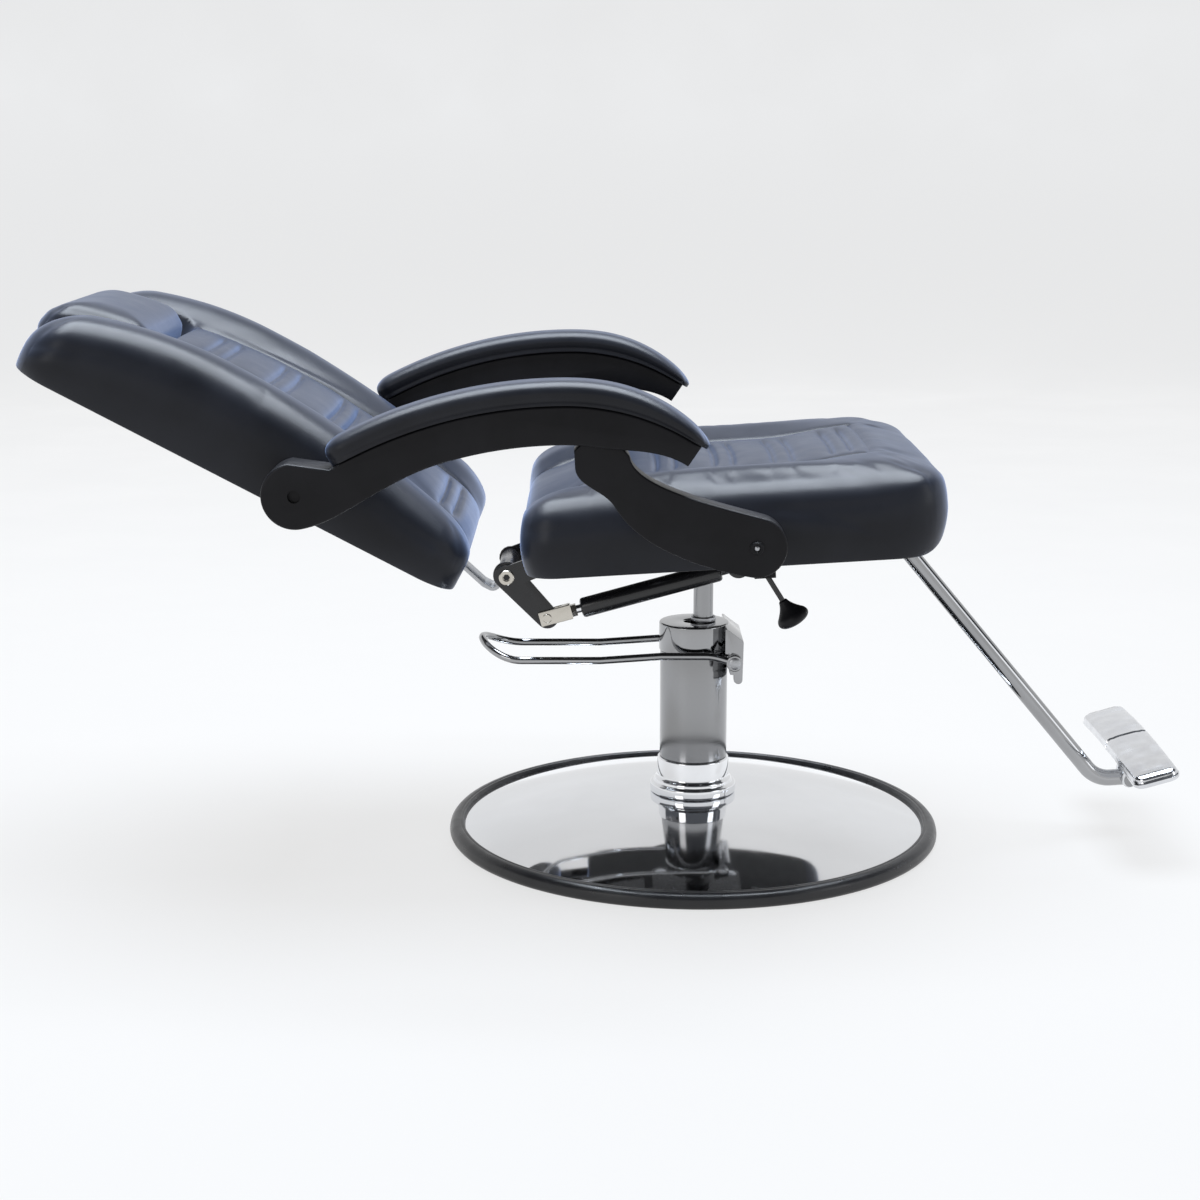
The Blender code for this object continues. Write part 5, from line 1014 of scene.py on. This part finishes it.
class CHAIR_OT_column(bpy.types.Operator):
    """Makes the pump column: sleeve, head with its hooked housing, gland and ram rod"""

    bl_idname = "chair.column"
    bl_label = "Pump Column"

    def execute(self, context):
        low = 0.0946
        high = 0.2280
        sleeve = [(0.038, low), (0.041, low), (0.041, high), (0.038, high)]
        sleeve = spun(softened(sleeve, 0.0008), True, 128)
        piece("column_sleeve", "base", "satin_chrome", [sleeve], ("pump_sleeve",))
        head_low = high + GAP
        head_top = head_low + 0.035
        head = [(0.0124, head_low), (0.0425, head_low), (0.0425, head_top), (0.0124, head_top)]
        cap = spun(softened(head, 0.0022, 4), True, 128)
        lower = head_low - 0.022
        profile = [(0.0416, lower), (0.047, lower), (0.047, lower - 0.0091)]
        profile += arc((0.052, lower - 0.0065), 0.005, 210, 360, 10)
        profile += [(0.058, head_top - 0.016), (0.038, head_top - 0.001), (0.036, head_top - 0.001)]
        profile += [(0.036, head_low + 0.001), (0.0416, head_low)]
        housing = turn(plate(softened(profile, 0.0015), 0.0884, 0.0016, 3), UPRIGHT)
        shift = Matrix.Translation((ROD_OFFSET, 0, 0))
        piece("pump_cap", "base", "bar_chrome", [cap], ("pump_head",))
        piece("pump_housing", "base", "bar_chrome", [housing])
        gland_low = head_top + GAP
        gland_top = gland_low + 0.006
        gland = [(0.0123, gland_low), (0.0153, gland_low), (0.0153, gland_top), (0.0123, gland_top)]
        gland = turn(spun(softened(gland, 0.0012), True, 64), shift)
        piece("rod_gland", "base", "plain_steel", [gland], ("rod_wiper",))
        rod = turn(bar(0.012, 0.0703, 0.3542, 72), shift)
        piece("ram_rod", "seat", "satin_chrome", [rod], ("spindle",))
        return {"FINISHED"}


class CHAIR_OT_lever(bpy.types.Operator):
    """Makes the hairpin pump lever and the pin that it turns on"""

    bl_idname = "chair.lever"
    bl_label = "Pump Lever"

    def execute(self, context):
        side = 0.049
        bend_at = side - 0.309 + 0.0045
        flat = 0.003
        corners = [(0, -side, 0), (-0.027, -side, 0.008), (-0.089, -side, 0.008), (-0.161, -side, flat)]
        near = bent_path(corners + [(bend_at, -side, flat)], 0.06, 6)
        turn_back = []
        for i in range(1, 40):
            angle = math.pi * i / 40
            rise = flat + 0.018 * math.sin(angle) ** 2
            turn_back.append(Vector((bend_at - side * math.sin(angle), -side * math.cos(angle), rise)))
        far = [Vector((p.x, -p.y, p.z)) for p in reversed(near)]
        pivot = place(*LEVER_PIVOT)
        shapes = [turn(tube(near + turn_back + far, 0.0045, 8), pivot)]
        for sign in (-1, 1):
            eye = [(PIN_BORE, -0.0045), (0.010, -0.0045), (0.010, 0.0045), (PIN_BORE, 0.0045)]
            where = pivot @ Matrix.Translation((0, sign * side, 0)) @ ALONG_Y
            shapes.append(turn(spun(softened(eye, 0.0012), True, 48), where))
        piece("lever_hairpin", "lever", "bar_chrome", shapes, ("pump_lever",))
        half = 0.0538
        head = -half - 0.003
        pin = [(0, head), (0.0045, head), (0.007, -half - 0.0015), (0.007, -half), (0.004, -half)]
        pin = turn(spun(both_ends(pin), segments=48), pivot @ ALONG_Y)
        piece("lever_pin", "base", "plain_steel", [pin], ("lever_pivot_pin",))
        return {"FINISHED"}


class CHAIR_OT_footrest(bpy.types.Operator):
    """Makes the bent footrest stem and the cast plate with its two bevelled lobes"""

    bl_idname = "chair.footrest"
    bl_label = "Footrest"

    def execute(self, context):
        drop = -0.0136
        lean = math.radians(-53.4)
        level = math.radians(0.6)
        start_at = Vector((0.100, 0, drop))
        bend = Vector((0.238 - ROD_OFFSET, 0, drop))
        foot = bend + Vector((math.cos(lean), 0, math.sin(lean))) * 0.403
        end = foot + Vector((math.cos(level), 0, math.sin(level))) * 0.045
        stem = turn(tube(bent_path((start_at, bend, foot, end), 0.035, 16), 0.010, 10), SEAT)
        made = piece("footrest_bar", "seat", "bar_chrome", [stem], ("footrest_stem",))
        cut(made, turn(bar(PIN_BORE, 0.06, -0.06), place(*FOOT_PIN_AT) @ ALONG_Y))
        self.plate_piece()
        return {"FINISHED"}

    def plate_piece(self):
        half = 0.150
        deep = 0.028
        thickness = 0.014
        corner = 0.014
        ahead = 0.012
        crease_half = 0.0035
        edge = (0.0, 0.0008, 0.0022, 0.0045, 0.008, 0.012, 0.015)
        crease_lines = (0.0006, 0.0014, 0.0024, crease_half, 0.0050, 0.010)
        wide = margins(-half, half, edge) + [sign * y for sign in (-1, 1) for y in crease_lines] + [0.0]
        depth = margins(-deep, deep, edge)
        shape = lattice((fill_in(depth, 0.005), fill_in(wide, 0.012), even(0, 1, 5)))
        for vertex in shape.verts:
            x, y, share = vertex.co
            along, across, inside = rounded_plan(y, x, -half, half, deep, corner, corner)
            groove = 0.006 * max(0.0, 1 - abs(y) / crease_half) ** 0.8
            bevel = roll(inside, 0.015, 0.008) + 0.001 * math.exp(-(((inside - 0.013) / 0.002) ** 2))
            top = 0.053 - 0.007 * (y / half) ** 2
            low = top - thickness
            high = top - groove - bevel
            rim = 0.0012 * math.exp(-((inside / 0.002) ** 2)) * (abs(share - 0.5) * 2) ** 4
            forward = ahead + across * (1 - rim / deep)
            vertex.co = (forward, along * (1 - rim / half), low + (high - low) * share)
        shapes = [shape]
        for sign in (-1, 1):
            outline = link_outline((0, 0), 0.009, (ahead, 0.0385), 0.0063)
            lug = plate(outline, 0.008, 0.001)
            shapes.append(turn(lug, Matrix.Translation((0, sign * 0.0146, 0)) @ UPRIGHT))
        shapes = [turn(shape, FOOT) for shape in shapes]
        made = piece("foot_casting", "footplate", "cast_aluminium", shapes, ("footplate",))
        cut(made, turn(bar(PIN_BORE, 0.06, -0.06), place(*FOOT_PIN_AT) @ ALONG_Y))


class CHAIR_OT_recline(bpy.types.Operator):
    """Makes the recline hinge, its bent bar and crank, and the gas spring"""

    bl_idname = "chair.recline"
    bl_label = "Recline Gear"

    def execute(self, context):
        half = 0.0646
        dip = -half - 0.0004
        head = -half - 0.0030
        bolt = [(0, dip), (0.0042, dip), (0.0046, head), (0.0082, head)]
        bolt += [(0.009, -half - 0.0022), (0.009, -half), (0.006, -half)]
        pivot = place(*RECLINE_PIVOT) @ ALONG_Y
        bolt = turn(spun(both_ends(bolt), segments=64), pivot)
        piece("recline_bolt", "seat", "nickel", [bolt], ("hinge_bolt",))
        # Dark hexagons in the rubber finish sit in the bolt heads' recesses as painted shade where the hex
        # socket holes lie.
        shapes = []
        for sign in (-1, 1):
            core = bar(0.0040, sign * (half + 0.0006), sign * (half + 0.0016), 6)
            shapes.append(turn(core, pivot))
        piece("recline_socket_shade", "seat", "rubber", shapes)
        barrel = [(0.0063, -0.060), (0.0115, -0.060), (0.0115, 0.060), (0.0063, 0.060)]
        barrel = turn(spun(softened(barrel, 0.0008), True, 64), pivot)
        piece("recline_barrel", "backrest", "black_paint", [barrel], ("hinge_barrel",))
        strap_half = 0.0025
        lie = BACK_REAR - GAP - strap_half
        corners = [(0, 0, 0), (-0.030, 0, 0.002), (-0.030, 0, 0.018)]
        corners += [(lie, 0, BACK_LOW + 0.010), (lie, 0, 0.230)]
        sides = ([], [])
        path = bent_path(corners, 0.008, 10)
        for i, point in enumerate(path):
            ahead = path[min(i + 1, len(path) - 1)] - path[max(i - 1, 0)]
            off = Vector((-ahead.z, ahead.x)).normalized() * strap_half
            sides[0].append((point.x + off.x, point.z + off.y))
            sides[1].append((point.x - off.x, point.z - off.y))
        strip = turn(plate(sides[0] + sides[1][::-1], 0.040, 0.0008), BACK @ UPRIGHT)
        made = piece("back_strap", "backrest", "plain_steel", [strip], ("back_bar",))
        cut(made, turn(bar(BARREL_BORE, 0.1, -0.1, 64), pivot))
        end = (CRANK_END[0] - RECLINE_PIVOT[0], CRANK_END[1] - RECLINE_PIVOT[1])
        where = place(*RECLINE_PIVOT, 0, SPRING_SIDE) @ UPRIGHT
        crank = turn(plate(link_outline((0, 0), 0.0165, end, 0.0135, 28), 0.006, 0.0010), where)
        made = piece("crank_plate", "backrest", "black_paint", [crank], ("recline_crank",))
        cut(made, turn(bar(BARREL_BORE, 0.1, -0.1, 64), pivot))
        cut(made, turn(bar(PIN_BORE, 0.02, -0.02), SPRING @ ALONG_Y))
        self.spring_pieces()
        return {"FINISHED"}

    def spring_pieces(self):
        wall = 0.0068
        slot = 0.0033
        outline = [(-0.009, -wall), (0.030, -wall), (0.030, wall), (-0.009, wall)]
        outline += [(-0.009, slot), (0.019, slot), (0.019, -slot), (-0.009, -slot)]
        fork = turn(plate(outline, 0.018, 0.0012), SPRING)
        made = piece("fork_end", "gas_rod", "nickel", [fork], ("spring_clevis",))
        cut(made, turn(bar(PIN_BORE, 0.02, -0.02), SPRING @ ALONG_Y))
        ends = 0.0071
        head = -ends - 0.0015
        pin = [(0, head), (0.0048, head), (0.0055, -ends - 0.0008), (0.0055, -ends), (0.004, -ends)]
        pin = turn(spun(both_ends(pin), segments=48), SPRING @ ALONG_Y)
        piece("fork_pin", "gas_rod", "nickel", [pin], ("clevis_pin",))
        rod = turn(bar(0.005, 0.0303, 0.102, 48), SPRING @ ALONG_X)
        piece("gas_rod_bar", "gas_rod", "mirror_chrome", [rod], ("spring_rod",))
        length = 0.23562
        neck = length - 0.022
        body = [(0.0053, 0.1023), (0.0053, 0.042), (0.0090, 0.042), (0.0112, 0.0433), (0.012, 0.0455)]
        body += [(0.012, neck - 0.004), (0.0112, neck - 0.0012), (0.0095, neck), (0.006, neck + 0.0005)]
        body += [(0.006, length - 0.0098), (0, length - 0.0098), (0, 0.1023)]
        eye = softened([(0.0095, -0.006), (0.014, -0.006), (0.014, 0.006), (0.0095, 0.006)], 0.0012)
        shapes = [turn(spun(body, segments=72), SPRING @ ALONG_X)]
        shapes.append(turn(spun(eye, True, 64), SPRING @ Matrix.Translation((length, 0, 0)) @ ALONG_Y))
        piece("gas_tube", "gas_cylinder", "black_paint", shapes, ("spring_cylinder",))


class CHAIR_OT_release(bpy.types.Operator):
    """Makes the release handle with its moulded knob"""

    bl_idname = "chair.release"
    bl_label = "Release Handle"

    def execute(self, context):
        rod = bar(0.003, 0.0, 0.038)
        shaft = bar(0.003, -0.007, 0.007)
        shapes = [turn(rod, RELEASE @ ALONG_X), turn(shaft, RELEASE @ ALONG_Y)]
        piece("handle_rod", "release", "black_paint", shapes, ("release_rod",))
        foot = 0.0383
        knob = [(0, 0), (0.0048, 0), (0.0058, 0.004), (0.0085, 0.009), (0.0128, 0.0145), (0.0172, 0.0190)]
        knob += [(0.0188, 0.0225), (0.0186, 0.0258), (0.0160, 0.0288), (0.0110, 0.0308)]
        knob += [(0.0050, 0.0317), (0.0, 0.0318)]
        knob = softened([(radius, foot + rise) for radius, rise in knob], 0.003, 4, closed=False)
        knob = turn(spun(knob, segments=64), RELEASE @ ALONG_X)
        piece("handle_knob", "release", "moulded", [knob], ("release_knob",))
        return {"FINISHED"}


class CHAIR_OT_fasteners(bpy.types.Operator):
    """Makes the bolts that hold the mount plate under the seat"""

    bl_idname = "chair.fasteners"
    bl_label = "Fasteners"

    def execute(self, context):
        head = [(0, -0.0055), (0.0058, -0.0055), (0.0068, -0.0045), (0.0068, 0), (0, 0)]
        washer = softened([(0.004, -0.0012), (0.010, -0.0012), (0.010, 0), (0.004, 0)], 0.0004)
        under_washer = Matrix.Translation((0, 0, -0.0011))
        shapes = []
        for x in (-0.068, 0.068):
            for y in (-0.082, 0.082):
                low = Matrix.Translation((x, y, -0.0064))
                shapes.append(turn(spun(washer, True, 48), SEAT @ low))
                shapes.append(turn(spun(head, segments=6), SEAT @ low @ under_washer))
        piece("mount_bolts", "seat", "plain_steel", shapes)
        return {"FINISHED"}


# The floor's own light: its strength where it is seen, and the share of it that also falls on the chair
FLOOR_GLOW = 0.71
FLOOR_SPILL = 0.5
SKY_COLOUR = (0.86, 0.91, 1.0, 1.0)
SKY_STRENGTH = 0.10


class CHAIR_OT_stage(bpy.types.Operator):
    """Sets up the pale studio, its lamps and the camera"""

    bl_idname = "chair.stage"
    bl_label = "Stage"

    def lamp(self, name, spot, target, size, power, colour):
        light = bpy.data.lights.new(name, "AREA")
        light.shape = "RECTANGLE"
        light.size = size[0]
        light.size_y = size[1]
        light.energy = power
        light.color = colour
        holder = bpy.data.objects.new(name, light)
        holder.location = spot
        holder.rotation_euler = (Vector(target) - Vector(spot)).to_track_quat("-Z", "Y").to_euler()
        bpy.context.scene.collection.objects.link(holder)

    def glow(self, tree):
        """Gives the floor its full glow to the eye, to gloss and through glass, and less to other rays."""
        seen = tree.nodes.new("ShaderNodeLightPath")
        total = None
        for ray in ("Is Camera Ray", "Is Glossy Ray", "Is Transmission Ray"):
            step = tree.nodes.new("ShaderNodeMath")
            step.operation = "MAXIMUM"
            wire(tree, seen, ray, step, 0)
            if total:
                wire(tree, total, "Value", step, 1)
            else:
                step.inputs[1].default_value = FLOOR_SPILL
            total = step
        strength = tree.nodes.new("ShaderNodeMath")
        strength.operation = "MULTIPLY"
        strength.inputs[1].default_value = FLOOR_GLOW
        wire(tree, total, "Value", strength, 0)
        shader = tree.nodes["Principled BSDF"]
        shader.inputs["Emission Color"].default_value = (1.0, 1.0, 1.0, 1.0)
        wire(tree, strength, "Value", shader, "Emission Strength")

    def execute(self, context):
        scene = context.scene
        settings = scene.chair_stage
        foot = 1.4
        low_wall = 2.6
        high_wall = 6.0
        reach = 6.0
        profile = [(0, 0), (reach / 2, 0)] + arc((reach - foot, foot), foot, -90, 0, 16)
        profile += [(reach, low_wall)]
        shape = spun(profile)
        for vertex in shape.verts:
            behind = ease(vertex.co.y / reach, 0.2, 0.7)
            if vertex.co.z > foot + 0.01:
                vertex.co.z = low_wall + (high_wall - low_wall) * behind
        mesh = bpy.data.meshes.new("studio_sweep")
        shape.to_mesh(mesh)
        shape.free()
        sweep = bpy.data.objects.new("studio_sweep", mesh)
        scene.collection.objects.link(sweep)
        mesh.shade_smooth()
        made, _ = finish("studio_floor", tuple(settings.floor_colour), 0.0, (0.55, 0.65), 3.0)
        self.glow(made.node_tree)
        mesh.materials.append(made)
        world = bpy.data.worlds.new("studio")
        scene.world = world
        world.use_nodes = True
        sky = world.node_tree.nodes["Background"]
        sky.inputs["Color"].default_value = SKY_COLOUR
        sky.inputs["Strength"].default_value = SKY_STRENGTH
        for name, spot, target, size, share, colour in (
            ("softbox_top", (-0.2, 0.7, 4.0), (-0.2, 0.6, 0.0), (4.4, 2.8), 1.0, (0.84, 0.91, 1.0)),
            ("softbox_front", (-2.6, -3.2, 2.2), (-0.1, 0, 0.4), (1.6, 2.2), 0.03, (1.0, 0.98, 0.96)),
            ("softbox_side", (3.2, -1.4, 1.8), (0.1, 0, 0.4), (1.2, 2.0), 0.02, (0.95, 0.97, 1.0)),
        ):
            self.lamp(name, spot, target, size, settings.lamp_power * share, colour)
        view = bpy.data.cameras.new("photo_camera")
        view.sensor_width = 36.0
        view.lens = 67.28
        camera = bpy.data.objects.new("photo_camera", view)
        camera.location = (-0.114457, -2.66315, 0.85786)
        camera.rotation_euler = (math.radians(77.9435), 0.0, 0.0)
        scene.collection.objects.link(camera)
        scene.camera = camera
        scene.view_settings.view_transform = "Standard"
        return {"FINISHED"}


class CHAIR_PT_panel(bpy.types.Panel):
    """Lists the chair's pieces and settings in the sidebar"""

    bl_idname = "CHAIR_PT_panel"
    bl_label = "Barber Chair"
    bl_space_type = "VIEW_3D"
    bl_region_type = "UI"
    bl_category = "Chair"

    def draw(self, context):
        scene = context.scene
        for settings, names in (
            (scene.chair_upholstery, ("leather_colour", "tuck_depth", "swell")),
            (scene.chair_metal, ("chrome_colour", "plastic_colour")),
            (scene.chair_stage, ("floor_colour", "lamp_power")),
        ):
            for name in names:
                self.layout.prop(settings, name)
        for maker in MAKERS:
            self.layout.operator(maker.bl_idname)


MAKERS = (
    CHAIR_OT_finishes,
    CHAIR_OT_seat_cushion,
    CHAIR_OT_back_cushion,
    CHAIR_OT_headrest,
    CHAIR_OT_arm_pads,
    CHAIR_OT_arms,
    CHAIR_OT_base,
    CHAIR_OT_column,
    CHAIR_OT_lever,
    CHAIR_OT_footrest,
    CHAIR_OT_recline,
    CHAIR_OT_release,
    CHAIR_OT_fasteners,
    CHAIR_OT_stage,
)
SETTINGS = (UpholsterySettings, MetalSettings, StageSettings)


def register():
    for item in SETTINGS + MAKERS + (CHAIR_PT_panel,):
        bpy.utils.register_class(item)
    bpy.types.Scene.chair_upholstery = PointerProperty(type=UpholsterySettings)
    bpy.types.Scene.chair_metal = PointerProperty(type=MetalSettings)
    bpy.types.Scene.chair_stage = PointerProperty(type=StageSettings)


def unregister():
    del bpy.types.Scene.chair_upholstery
    del bpy.types.Scene.chair_metal
    del bpy.types.Scene.chair_stage
    for item in reversed(SETTINGS + MAKERS + (CHAIR_PT_panel,)):
        bpy.utils.unregister_class(item)


def main():
    register()
    bpy.ops.chair.finishes()
    bpy.ops.chair.seat_cushion()
    bpy.ops.chair.back_cushion()
    bpy.ops.chair.headrest()
    bpy.ops.chair.arm_pads()
    bpy.ops.chair.arms()
    bpy.ops.chair.base()
    bpy.ops.chair.column()
    bpy.ops.chair.lever()
    bpy.ops.chair.footrest()
    bpy.ops.chair.recline()
    bpy.ops.chair.release()
    bpy.ops.chair.fasteners()
    bpy.ops.chair.stage()


if __name__ == "__main__":
    main()
